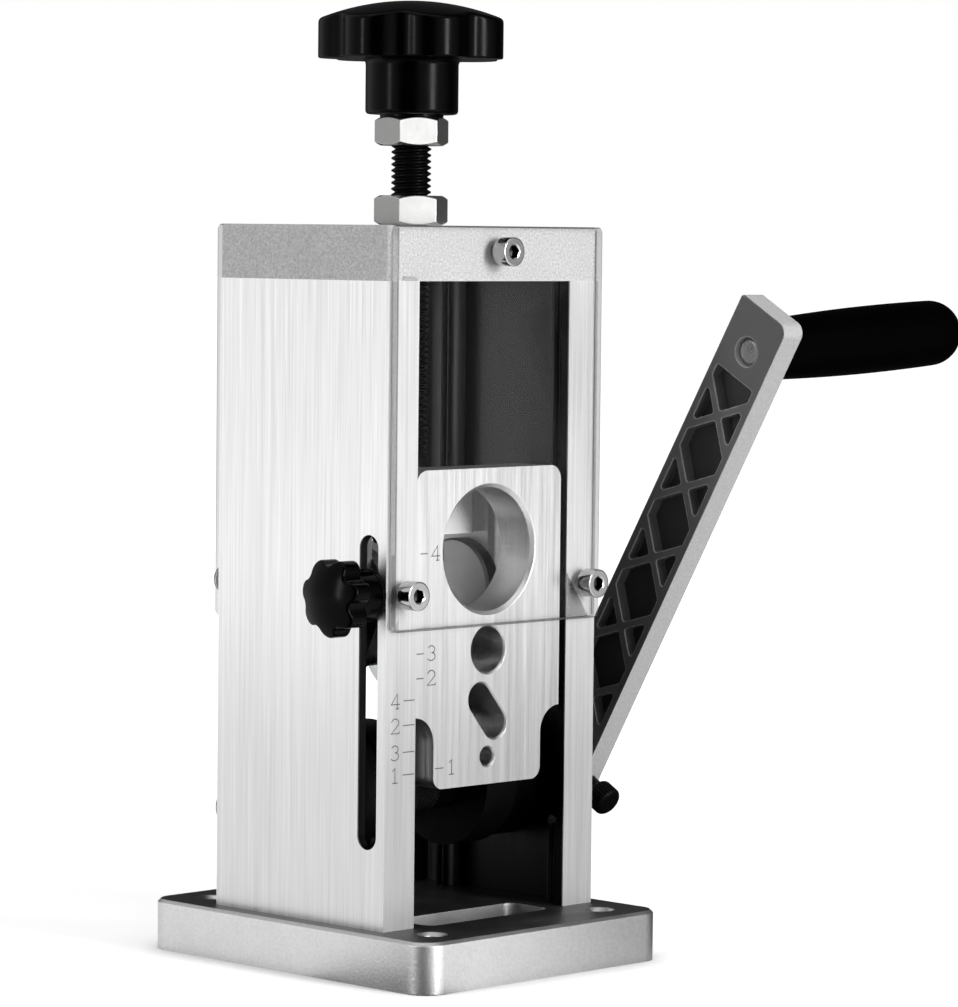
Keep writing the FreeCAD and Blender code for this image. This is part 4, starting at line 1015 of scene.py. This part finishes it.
# ---------------------------------------------------------------- sub-assemblies
@dataclass
class Tower:
    """Base plate, channels, cap, covers and the screws that hold them; sizes in millimetres."""

    look: Palette
    head_r: float = 3.5
    head_h: float = 4.0
    socket_af: float = 3.0
    button_r: float = 3.8
    button_h: float = 2.3
    screw_r: float = 2.0
    screw_columns: int = 72
    first_turn: float = 13.0
    next_turn: float = 37.0
    sheet_corner: float = 1.5
    sheet_bevel: float = 0.2

    def dress(self) -> None:
        """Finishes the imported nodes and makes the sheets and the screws."""
        look = self.look
        dress_nodes(["left_channel", "right_channel"], look.channel)
        dress_nodes(["base_plate"], look.base)
        dress_nodes(["top_cap"], look.cap)
        dress_nodes(["base_screws", "cap_screws", "bracket_washers"], look.plated)
        dress_nodes(["left_bush", "right_bush"], look.bronze)
        dress_nodes(["roller_bracket"], look.black_casting)
        self.sheets()
        self.cover_screws()

    def sheets(self) -> None:
        """The clear covers as plain flat sheets."""
        for node in ("front_cover", "rear_cover"):
            sheet = slab(f"{node}_sheet", *box_of(node), self.sheet_corner, self.sheet_bevel)
            fit_piece(sheet, "tower", self.look.clear, [node])

    def screw_head(self, radius: float, height: float, domed: bool, tail: float) -> np.ndarray:
        """A screw with a hexagonal socket as one grid, its head's seat at local height 0.

        The rows run from the tail up the shank, round the head and down into the socket.
        Below the rim the radius is a circle; in the socket it is the distance to the flats of
        a hexagon, half the width across flats over the cosine of the angle to the nearest flat.

        Args:
            radius: radius of the head.
            height: height of the head.
            domed: whether the head is a button rather than a cylinder.
            tail: length of the shank.

        Returns:
            Array (rows, columns, 3); the last three rows are the socket.
        """
        half = self.socket_af / 2
        if domed:
            outer = [(radius, 0.0, 0.0), (radius, 0.35, 0.2), (radius * 0.86, height * 0.72, 1.2),
                     (radius * 0.52, height, 0.8), (half + 0.25, height, 0)]
        else:
            outer = [(radius, 0.0, 0.0), (radius, height - 0.1, 0.45),
                     (radius - 0.25, height, 0.2), (half + 0.45, height, 0)]
        shank = [(self.screw_r - 0.3, -tail, 0), (self.screw_r, -tail + 0.3, 0),
                 (self.screw_r, -0.02, 0)]
        depth = height * 0.55
        body = revolve(np.vstack([profile(shank), profile(outer)]), self.screw_columns)
        angle = around(self.screw_columns)
        flat = np.cos((angle + math.pi / 6) % (math.pi / 3) - math.pi / 6)
        inner = ((half, height - 0.18), (half, height - depth),
                 (half * 0.4, height - depth - 0.35))
        rows = [turned(r / flat, np.full(self.screw_columns, h), angle) for r, h in inner]
        return np.concatenate([body, np.stack(rows)])

    def cover_screws(self) -> None:
        """Socket screws in front, domed screws behind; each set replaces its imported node."""
        sets = (("front_cover_screws", -1, False, self.head_r, self.head_h),
                ("rear_cover_screws", 1, True, self.button_r, self.button_h),
                ("bracket_screws", 1, True, self.button_r, self.button_h))
        for node, side, domed, radius, height in sets:
            made, sockets = [], []
            for k, (centre, reach) in enumerate(self.screw_places(node, side, height)):
                turn = math.radians(self.first_turn + self.next_turn * k)
                axes = basis((0, side, 0), (math.sin(turn), 0, math.cos(turn)))
                points = place(self.screw_head(radius, height, domed, reach), centre, axes) * MM
                made.append(grid_mesh(f"{node}_{k}", points[:-2], last=Cap.OPEN, crease=38))
                sockets.append(grid_mesh(f"{node}_socket_{k}", points[-3:], first=Cap.OPEN,
                                         crease=38))
            fit_piece(joined(f"{node}_detailed", made), "tower", self.look.chrome,
                      [node])
            # The hex sockets take the near-black socket_shade finish, painted shade in the recess.
            fit_piece(joined(f"{node}_sockets", sockets), "tower", self.look.socket)

    def screw_places(self, node: str, side: int, height: float) -> list[tuple[np.ndarray, float]]:
        """Seat centre and shank length of each screw of a node, read from its vertices.

        Args:
            node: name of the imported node, whose screws stand left, in the middle or right.
            side: -1 for screws whose heads look to the front, 1 for those behind.
            height: height of a head.

        Returns:
            A (centre, length) pair for each screw, in millimetres.
        """
        co = vertices_of(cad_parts[node]) / MM
        places = []
        for left, right in ((-40, -20), (-10, 10), (20, 40)):
            part = co[(co[:, 0] > left) & (co[:, 0] < right)]
            if not len(part):
                continue
            lo, hi = part.min(0), part.max(0)
            out, back = (lo[1], hi[1]) if side < 0 else (hi[1], lo[1])
            seat = out - side * height
            centre = np.array([(lo[0] + hi[0]) / 2, seat, (lo[2] + hi[2]) / 2])
            places.append((centre, abs(seat - back)))
        return places


@dataclass
class Spindle:
    """Threaded spindle, its nuts and the top knob; sizes in millimetres."""

    look: Palette
    pitch: float = 1.5
    radius: float = 4.9
    depth: float = 0.86
    plain_below: float = 26.5
    plain_above: float = 13.0
    fade: float = 1.2
    chamfer: float = 0.8
    thread_columns: int = 44
    rows_per_turn: int = 12
    collar_r: float = 7.8
    collar_h: float = 0.7
    hub_r: float = 11.4
    hub_h: float = 13.5
    rim_h: float = 9.6
    dome_h: float = 4.6
    knob_columns: int = 280
    rim: LobedRim = LobedRim(7, 14.5, 8.6, 5.0, 38.0)

    def dress(self) -> None:
        """Makes the thread and the knob, and finishes the rest."""
        dress_nodes(["lock_nut", "knob_nut", "spindle_end_nut", "spindle_ring",
                     "spindle_end_washer"], self.look.plated)
        self.thread()
        self.knob()

    def thread(self) -> None:
        """The spindle with its thread, in place of the plain one.

        Radius = root + depth times a trapezium wave of (height / pitch - angle / turn), which
        climbs one pitch per turn; the wave fades out near both plain ends. The wave is a
        triangle that is stretched, lowered and then cut off at nought and one.
        """
        stretch, lowered = 1.55, 0.22
        lo, hi = box_of("spindle")
        bottom, top = lo[2] + self.plain_below, hi[2] - self.plain_above
        rows = int((top - bottom) / self.pitch * self.rows_per_turn)
        height = np.repeat(np.linspace(bottom, top, rows)[:, None], self.thread_columns, 1)
        turn = np.repeat(around(self.thread_columns)[None, :], rows, 0)
        phase = (height / self.pitch - turn / TAU) % 1.0
        wave = np.clip((0.5 - np.abs(phase - 0.5)) * 2 * stretch - lowered, 0, 1)
        fade = np.clip(np.minimum(height - bottom, top - height) / self.fade, 0, 1)
        screw = turned(self.radius - self.depth * (1 - wave) * fade, height, turn)
        small = self.radius - self.chamfer
        tail = revolve(np.array([(small, lo[2]), (self.radius, lo[2] + self.chamfer)]),
                       self.thread_columns)
        head = revolve(np.array([(self.radius, hi[2] - self.chamfer), (small, hi[2])]),
                       self.thread_columns)
        points = np.concatenate([tail, screw, head])
        piece = grid_mesh("spindle_thread", points * MM, crease=40)
        fit_piece(piece, "spindle_assembly", self.look.black_steel, ["spindle"])

    def knob(self) -> None:
        """The waved, domed handwheel as one grid: collar, hub, and the lobed head above them."""
        z = box_of("top_knob")[0][2]
        seat = z + self.collar_h
        low = seat + self.hub_h
        stem = revolve(profile([
            (self.collar_r - 2.5, z, 0), (self.collar_r, z, 0.2), (self.collar_r, seat, 0.1),
            (self.hub_r, seat, 1.1), (self.hub_r, low - 0.9, 0.9), (self.hub_r + 0.9, low, 0),
        ], 7), self.knob_columns)
        edge = low + self.rim_h
        head = self.rim.head(self.knob_columns, self.hub_r + 1.2, low, edge, edge + self.dome_h,
                             back_ease=0.5, front_ease=1.0)
        piece = grid_mesh("top_knob_moulded", np.concatenate([stem, head]) * MM, crease=50)
        fit_piece(piece, "spindle_assembly", self.look.knob, ["top_knob"])


@dataclass
class Crank:
    """Shaft, roller, ribbed arm, grip and thumb screw; sizes in millimetres."""

    look: Palette
    splay: float = 4.0
    arm_l: float = 123.95
    arm_face: float = 54.4
    grip_start: float = 8.1
    grip_l: float = 68.0
    grip_neck_r: float = 7.5
    grip_end_r: float = 8.3
    grip_belly: float = 0.55
    grip_bore_r: float = 4.2
    thumb_seat: float = 3.4
    thumb_ridges: int = 28
    ridge_depth: float = 0.09
    knurls: int = 48
    knurl_climb: float = 1.1
    knurl_depth: float = 0.3

    def direction(self, across: float, along: float, out: float) -> np.ndarray:
        """A vector of the crank's own frame (across, along the arm, out) in the row frame."""
        a = math.radians(CRANK_TILT)
        return np.array([out, across * math.cos(a) - along * math.sin(a),
                         across * math.sin(a) + along * math.cos(a)])

    def point(self, across: float, along: float, out: float) -> np.ndarray:
        """A point of the crank's own frame, in millimetres of the row frame."""
        return np.array([0.0, 0.0, SHAFT_Z]) + self.direction(across, along, out)

    def dress(self) -> None:
        """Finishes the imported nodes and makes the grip, the thumb screw and the roller."""
        dress_nodes(["drive_shaft", "roller_key", "grip_bolt"], self.look.steel)
        dress_nodes(["crank_arm"], self.look.casting)
        self.grip()
        self.thumb_screw()
        self.roller()

    def grip(self) -> None:
        """A smooth barrel with a round end, about the pin's leaning axis.

        Its radius runs straight from the neck's to the end's, plus a sine for the belly.
        """
        s = math.radians(self.splay)
        axis = self.direction(0, math.sin(s), math.cos(s))
        origin = self.point(0, self.arm_l, self.arm_face) + axis * self.grip_start
        neck, tail_r, neck_l = self.grip_neck_r, self.grip_end_r, 0.8
        tail = self.grip_l - tail_r
        t = np.linspace(0, 1, 40)
        swell = neck + (tail_r - neck) * t + self.grip_belly * np.sin(math.pi * t) ** 0.9
        barrel = np.stack([swell, neck_l + (tail - neck_l) * t], -1)
        q = np.linspace(0, math.pi / 2 - 0.04, 18)[1:]
        end = np.stack([tail_r * np.cos(q), tail + tail_r * np.sin(q)], -1)
        start = [(self.grip_bore_r, 0.0), (neck - 0.6, 0.0), (neck - 0.2, 0.25)]
        points = place(revolve(np.vstack([start, barrel, end]), 96), origin, basis(axis))
        piece = grid_mesh("grip_barrel", points * MM, crease=50)
        fit_piece(piece, "crank_grip", self.look.grip, ["grip"])

    def thumb_screw(self) -> None:
        """Thumb screw with fine upright ridges: radius less a cosine of ridges x angle."""
        axis = self.direction(-1, 0, 0)
        origin = self.point(0, 0, self.arm_face + self.thumb_seat)
        line = profile([(2.0, 4.45, 0), (2.5, 4.95, 0), (2.5, 12.2, 0.2), (3.1, 12.2, 0.2),
                        (3.9, 13.0, 0.5), (3.9, 17.0, 0.9), (3.0, 17.7, 0.7), (0.5, 17.7, 0)], 6)

        def ridged(radius: np.ndarray, height: np.ndarray, turn: np.ndarray) -> np.ndarray:
            """The radius less a shallow groove on the head's side."""
            side = np.clip((radius - 3.3) / 0.5, 0, 1)
            return radius - self.ridge_depth * side * (1 - np.cos(self.thumb_ridges * turn))

        points = place(revolve(line, 196, ridged), origin, basis(axis, (1, 0, 0)))
        piece = grid_mesh("thumb_screw_ridged", points * MM, crease=50)
        fit_piece(piece, "crank_thumb_screw", self.look.black_steel,
                  ["thumb_screw"])

    def roller(self) -> None:
        """Feed roller with a diamond knurl on its rim.

        On the rim the radius falls by the larger of two triangle waves that run across the
        rim on crossed slants.
        """
        low, high = box_of("feed_roller")
        centre, size = (low + high) / 2, high - low
        left, right = -size[0] / 2, size[0] / 2
        rim0, rim1 = left + 5.1, left + 16.1
        top, hub, bore, chamfer = size[2] / 2, 7.4, 5.02, 0.6
        x = np.linspace(rim0 + chamfer, rim1 - chamfer, 60)
        line = np.vstack([[(bore, left), (hub, left), (hub, rim0), (top - chamfer, rim0)],
                          np.stack([np.full(60, top), x], -1),
                          [(top - chamfer, rim1), (hub, rim1), (hub, right), (bore, right)]])

        def knurled(radius: np.ndarray, height: np.ndarray, turn: np.ndarray) -> np.ndarray:
            """The radius less the crossed grooves."""
            flat = 0.35
            a, b = ((turn * self.knurls / TAU + way * height / self.knurl_climb) % 1.0
                    for way in (1, -1))
            groove = np.maximum(np.abs(a - 0.5), np.abs(b - 0.5)) * 2
            depth = self.knurl_depth * np.clip((groove - flat) / (1 - flat), 0, 1)
            return radius - np.where(radius > top - 0.05, depth, 0)

        ring = revolve(line, 384, knurled)
        points = place(np.concatenate([ring, ring[:1]]), (centre[0], 0, SHAFT_Z),
                       basis((1, 0, 0)))
        piece = grid_mesh("feed_roller_knurled", points * MM, Cap.OPEN, Cap.OPEN, crease=30)
        fit_piece(piece, "crank", self.look.black_steel, ["feed_roller"])


@dataclass
class Guide:
    """Wire guide, its stud and pin, the star knob and the engraved scale, in millimetres."""

    look: Palette
    hub_r: float = 6.3
    hub_l: float = 6.5
    edge_l: float = 4.85
    head_l: float = 7.55
    bore_r: float = 3.2
    rim: LobedRim = LobedRim(7, 7.1, 2.4, 2.2)
    knob_columns: int = 252
    stud_z: float = 92.3
    stroke: float = 0.26
    digit_h: float = 3.5
    digit_w: float = 2.9

    def dress(self) -> None:
        """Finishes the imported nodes, makes the star knob and engraves the scale."""
        dress_nodes(["guide_block"], self.look.guide)
        dress_nodes(["guide_stud", "guide_pin"], self.look.plated)
        dress_nodes(["guide_washer"], self.look.black_steel)
        self.star()
        self.scale()

    def star(self) -> None:
        """Star knob as one grid: round hub, then the lobed, domed head; a lobe points down."""
        lo, hi = box_of("guide_knob")
        centre = (hi[0], (lo[1] + hi[1]) / 2, self.stud_z)
        neck, hub = self.hub_l, self.hub_r
        stem = revolve(profile([(self.bore_r, 0.0, 0), (hub, 0.0, 0.3), (hub, neck - 0.3, 0.3),
                                (hub + 0.3, neck, 0)], 7), self.knob_columns)
        head = self.rim.head(self.knob_columns, hub + 0.4, neck, neck + self.edge_l,
                             neck + self.head_l, back_ease=0.5, front_ease=0.6)
        points = place(np.concatenate([stem, head]), centre, basis((-1, 0, 0), (0, 0, -1)))
        piece = grid_mesh("star_knob_moulded", points * MM, crease=50)
        fit_piece(piece, "wire_guide_knob", self.look.knob, ["guide_knob"])

    def strokes(self, digit: str) -> list[np.ndarray]:
        """Pen lines of a digit in a box one wide and one high, as arrays of (across, up)."""
        def arc(cx: float, cy: float, rx: float, ry: float, start: float, end: float) -> np.ndarray:
            """Points on an ellipse between two angles in degrees."""
            a = np.radians(np.linspace(start, end, 16))
            return np.stack([cx + rx * np.cos(a), cy + ry * np.sin(a)], -1)

        return {
            "1": [np.array([(0.22, 0.80), (0.52, 1.0), (0.52, 0.0)]),
                  np.array([(0.22, 0.0), (0.82, 0.0)])],
            "2": [np.vstack([arc(0.5, 0.72, 0.42, 0.28, 170, -35),
                             [(0.06, 0.0), (0.95, 0.0), (0.97, 0.14)]])],
            "3": [np.vstack([arc(0.48, 0.75, 0.38, 0.25, 155, -75),
                             arc(0.46, 0.27, 0.46, 0.27, 80, -150)])],
            "4": [np.array([(0.98, 0.3), (0.0, 0.3), (0.68, 1.0), (0.68, 0.0)]),
                  np.array([(0.5, 0.0), (0.88, 0.0)])],
        }[digit]

    def pen(self, name: str, lines: Sequence[np.ndarray], y: float) -> bpy.types.Object:
        """Thin raised ribbons along pen lines on a plane that faces the front.

        Each line's points are pushed half a stroke to both sides along the averaged normal of
        their two runs, which gives a strip of quads with a front and a back.
        """
        proud, thick = 0.02, 0.03
        verts, faces, base = [], [], 0
        for line in lines:
            run = np.diff(line, axis=0)
            run = run / np.linalg.norm(run, axis=1, keepdims=True)
            lead = np.vstack([run[:1], run])
            trail = np.vstack([run, run[-1:]])
            mean = lead + trail
            mean = mean / np.linalg.norm(mean, axis=1, keepdims=True)
            side, lead_side = (np.stack([-way[:, 1], way[:, 0]], -1) for way in (mean, lead))
            widen = 1 / np.clip(np.abs(np.einsum("ij,ij->i", side, lead_side)), 0.5, 1)
            off = side * (self.stroke / 2 * widen)[:, None]
            flat = np.concatenate([line + off, line - off])
            n = len(line)
            front = np.stack([flat[:, 0], np.full(2 * n, y - proud), flat[:, 1]], -1)
            back = front + np.array([0, thick, 0])
            verts.append(np.concatenate([front, back]))
            i = np.arange(n - 1)
            quads = [np.stack([i, i + 1, i + 1 + n, i + n], -1),
                     np.stack([i + 2 * n, i + 3 * n, i + 1 + 3 * n, i + 1 + 2 * n], -1),
                     np.stack([i, i + 2 * n, i + 1 + 2 * n, i + 1], -1),
                     np.stack([i + n, i + 1 + n, i + 1 + 3 * n, i + 3 * n], -1)]
            ends = np.array([[0, n, 3 * n, 2 * n], [n - 1, 3 * n - 1, 4 * n - 1, 2 * n - 1]])
            faces += (np.vstack([*quads, ends]) + base).tolist()
            base += 4 * n
        return mesh_object(name, np.vstack(verts) * MM, faces, 20)

    def mark(self, digit: str, x: float, z: float, tick_x: tuple[float, float]) -> list[np.ndarray]:
        """Pen lines of a digit centred on (x, z) and its tick."""
        size = np.array([self.digit_w, self.digit_h])
        corner = np.array([x, z]) - size / 2
        lines = [corner + shape * size for shape in self.strokes(digit)]
        lines.append(np.array([(tick_x[0], z), (tick_x[1], z)]))
        return lines

    def scale(self) -> None:
        """The numbers one to four with their ticks, on the guide and on the left post."""
        guide_face, post_face = (box_of(node)[0][1] for node in ("guide_block", "left_channel"))
        on_guide = [("4", -19.2, 101.9, (-24.4, -22.0)), ("3", -20.4, 78.0, (-25.4, -23.0)),
                    ("2", -20.4, 72.1, (-25.4, -23.0)), ("1", -13.3, 50.1, (-18.8, -16.0))]
        on_post = [("4", -32.5, 67.2, (-29.9, -26.2)), ("2", -32.6, 61.3, (-30.0, -26.2)),
                   ("3", -32.6, 54.9, (-30.0, -26.2)), ("1", -32.6, 49.5, (-30.0, -26.2))]
        for name, marks, y, body in (("guide_scale", on_guide, guide_face, "wire_guide"),
                                     ("post_scale", on_post, post_face, "tower")):
            lines = [line for m in marks for line in self.mark(*m)]
            fit_piece(self.pen(name, lines, y), body, self.look.ink)


@dataclass
class Carriage:
    """Cast bridge, cheeks, axle and blade."""

    look: Palette

    def dress(self) -> None:
        """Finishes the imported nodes."""
        dress_nodes(["blade_carriage"], self.look.carriage)
        dress_nodes(["left_cheek", "right_cheek"], self.look.cheek)
        dress_nodes(["blade_axle", "blade_spacers"], self.look.steel)
        dress_nodes(["cheek_screws", "axle_clips"], self.look.plated)
        dress_nodes(["blade"], self.look.blade)


# ---------------------------------------------------------------- camera, floor and light
@dataclass(frozen=True)
class Lamp:
    """A soft rectangular lamp that looks at the middle of the object.

    Its azimuth runs from +X towards +Y and its elevation from the floor, both in degrees; the
    distance, width and height are in metres.
    """

    name: str
    azimuth: float
    elevation: float
    distance: float
    width: float
    height: float
    watts: float

    def hang(self, target: tuple[float, float, float]) -> None:
        """Adds the lamp to the scene, aimed at target."""
        a, e = math.radians(self.azimuth), math.radians(self.elevation)
        away = Vector((math.cos(a) * math.cos(e), math.sin(a) * math.cos(e), math.sin(e)))
        data = bpy.data.lights.new(self.name, "AREA")
        data.shape = "RECTANGLE"
        data.size, data.size_y, data.energy = self.width, self.height, self.watts
        lamp = bpy.data.objects.new(self.name, data)
        lamp.location = Vector(target) + away * self.distance
        lamp.rotation_euler = (-away).to_track_quat("-Z", "Y").to_euler()
        bpy.context.scene.collection.objects.link(lamp)


@dataclass
class Studio:
    """Camera, pale floor, pale surroundings and soft lamps; places in metres."""

    place: tuple[float, float, float] = (-0.75656, -0.76908, 0.17817)
    azimuth: float = 45.457
    elevation: float = 3.524
    roll: float = 0.593
    focal_px: float = 4388.754
    long_side_px: float = 1007.0
    sensor: float = 36.0
    lamps: list[Lamp] = field(default_factory=lambda: [
        Lamp("key_lamp", 278.0, 10.0, 1.9, 0.34, 1.1, 34.0),
        Lamp("left_lamp", 168.0, 8.0, 1.8, 0.16, 1.0, 8.0),
        Lamp("top_lamp", 200.0, 80.0, 1.7, 1.4, 1.4, 6.0),
    ])
    lamps_look_at: tuple[float, float, float] = (0.0, 0.0, 0.12)
    world_share: float = 0.30
    floor_size: float = 12.0
    floor_drop: float = 0.00002
    floor_albedo: float = 0.9
    floor_bounce: float = 0.5
    # The floor glows as painted light, weaker near the object than far away.
    floor_glow: float = 0.55
    far_glow: float = 0.8
    glow_run: tuple[float, float] = (0.08, 0.6)
    # Reach and opening of the painted contact shadow that ambient occlusion cuts into the glow.
    contact_shadow_reach: float = 0.022
    contact_shadow_open: float = 0.35

    def camera(self) -> None:
        """A camera at the fitted place; its rows are right, up and back, rolled about the view."""
        a, e, r = (math.radians(v) for v in (self.azimuth, self.elevation, self.roll))
        right = np.array([math.cos(a), -math.sin(a), 0.0])
        back = np.array([-math.sin(a) * math.cos(e), -math.cos(a) * math.cos(e), math.sin(e)])
        up = np.cross(back, right)
        rows = np.stack([right * math.cos(r) + up * math.sin(r),
                         -right * math.sin(r) + up * math.cos(r), back])
        data = bpy.data.cameras.new("camera")
        data.sensor_width = self.sensor
        data.lens = self.focal_px / self.long_side_px * self.sensor
        data.clip_start, data.clip_end = 0.05, 50.0
        camera = bpy.data.objects.new("camera", data)
        turn = Matrix([[*rows[:, i], 0.0] for i in range(3)] + [[0, 0, 0, 1]])
        camera.matrix_world = Matrix.Translation(Vector(self.place)) @ turn
        bpy.context.scene.collection.objects.link(camera)
        bpy.context.scene.camera = camera

    def rays(self, n: Nodes, coordinates: str) -> tuple[Socket, Socket, Socket]:
        """Shares for three kinds of ray, by what the surroundings and the floor show them.

        Args:
            n: maker for the tree.
            coordinates: the coordinates whose direction the dark cards are looked up by.

        Returns:
            One for rays that show the background plainly; what the dark cards leave of one for
            rays from gloss; and one for all other rays.
        """
        path = n.add("ShaderNodeLightPath").outputs
        plain = n.maths("MAXIMUM", path["Is Camera Ray"], path["Is Transmission Ray"])
        gloss = path["Is Glossy Ray"]
        cards = n.add("ShaderNodeGroup", node_tree=Shop.group("dark_cards"))
        n.link(n.add("ShaderNodeTexCoord").outputs[coordinates], cards.inputs[0])
        carded = n.times(gloss, n.rest(cards.outputs[0]))
        return plain, carded, n.rest(n.maths("MAXIMUM", plain, gloss))

    def world(self) -> None:
        """White where it is seen directly or through the covers; carded in gloss; soft as light."""
        world = bpy.data.worlds.new("surroundings")
        world.use_nodes = True
        n = Nodes(world.node_tree)
        back = world.node_tree.nodes["Background"]
        back.inputs[0].default_value = (1, 1, 1, 1)
        plain, carded, other = self.rays(n, "Generated")
        lit = n.maths("MAXIMUM", plain, carded)
        n.link(n.maths("ADD", lit, n.times(other, self.world_share)), back.inputs[1])
        bpy.context.scene.world = world

    def floor(self) -> None:
        """A wide white floor just below the object, which keeps the object's shadow; its glow is
        weaker near the object and is cut by ambient occlusion into a painted contact shadow.
        """
        size = self.floor_size
        corners = [(x, y, -self.floor_drop) for x, y in ((-size, -size), (size, -size),
                                                         (size, size), (-size, size))]
        mesh = bpy.data.meshes.new("floor")
        mesh.from_pydata(corners, [], [[0, 1, 2, 3]])
        floor = bpy.data.objects.new("floor", mesh)
        bpy.context.scene.collection.objects.link(floor)
        material = bpy.data.materials.new("floor_white")
        material.use_nodes = True
        n = Nodes(material.node_tree)
        shader = material.node_tree.nodes["Principled BSDF"]
        shader.inputs["Roughness"].default_value = 1.0
        shader.inputs["Specular IOR Level"].default_value = 0.0
        shader.inputs["Emission Color"].default_value = (1, 1, 1, 1)
        plain, carded, other = self.rays(n, "Object")
        level = n.maths("ADD", n.times(plain, self.floor_albedo),
                        n.times(carded, self.floor_albedo))
        level = n.maths("ADD", level, n.times(other, self.floor_bounce))
        albedo = n.add("ShaderNodeCombineColor")
        for socket in albedo.inputs[:3]:
            n.link(level, socket)
        n.link(albedo.outputs[0], shader.inputs["Base Color"])
        where = n.add("ShaderNodeTexCoord").outputs["Object"]
        away = n.vector("LENGTH", where, out="Value")
        # The floor's painted glow is weaker near the object.
        rise = n.ramp(away, *self.glow_run, self.floor_glow, self.far_glow)
        # Ambient occlusion cuts the glow into a painted contact shadow next to the object.
        near = n.add("ShaderNodeAmbientOcclusion", samples=8)
        near.inputs["Distance"].default_value = self.contact_shadow_reach
        unshaded = n.ramp(near.outputs["AO"], self.contact_shadow_open, 1.0)
        glow = n.times(n.maths("MAXIMUM", plain, carded), n.times(rise, unshaded))
        n.link(glow, shader.inputs["Emission Strength"])
        mesh.materials.append(material)

    def light(self) -> None:
        """Hangs the lamps round the middle of the object."""
        for lamp in self.lamps:
            lamp.hang(self.lamps_look_at)

    def set_up(self) -> None:
        """Makes the whole studio."""
        self.camera()
        self.world()
        self.floor()
        self.light()
        bpy.context.scene.view_settings.view_transform = "Standard"


def main() -> None:
    """Builds the studio and dresses each sub-assembly in order."""
    look = Palette()
    Studio().set_up()
    for part in (Tower(look), Spindle(look), Crank(look), Guide(look), Carriage(look)):
        LOG.info("dressing %s", type(part).__name__)
        part.dress()


if __name__ == "__main__":
    main()
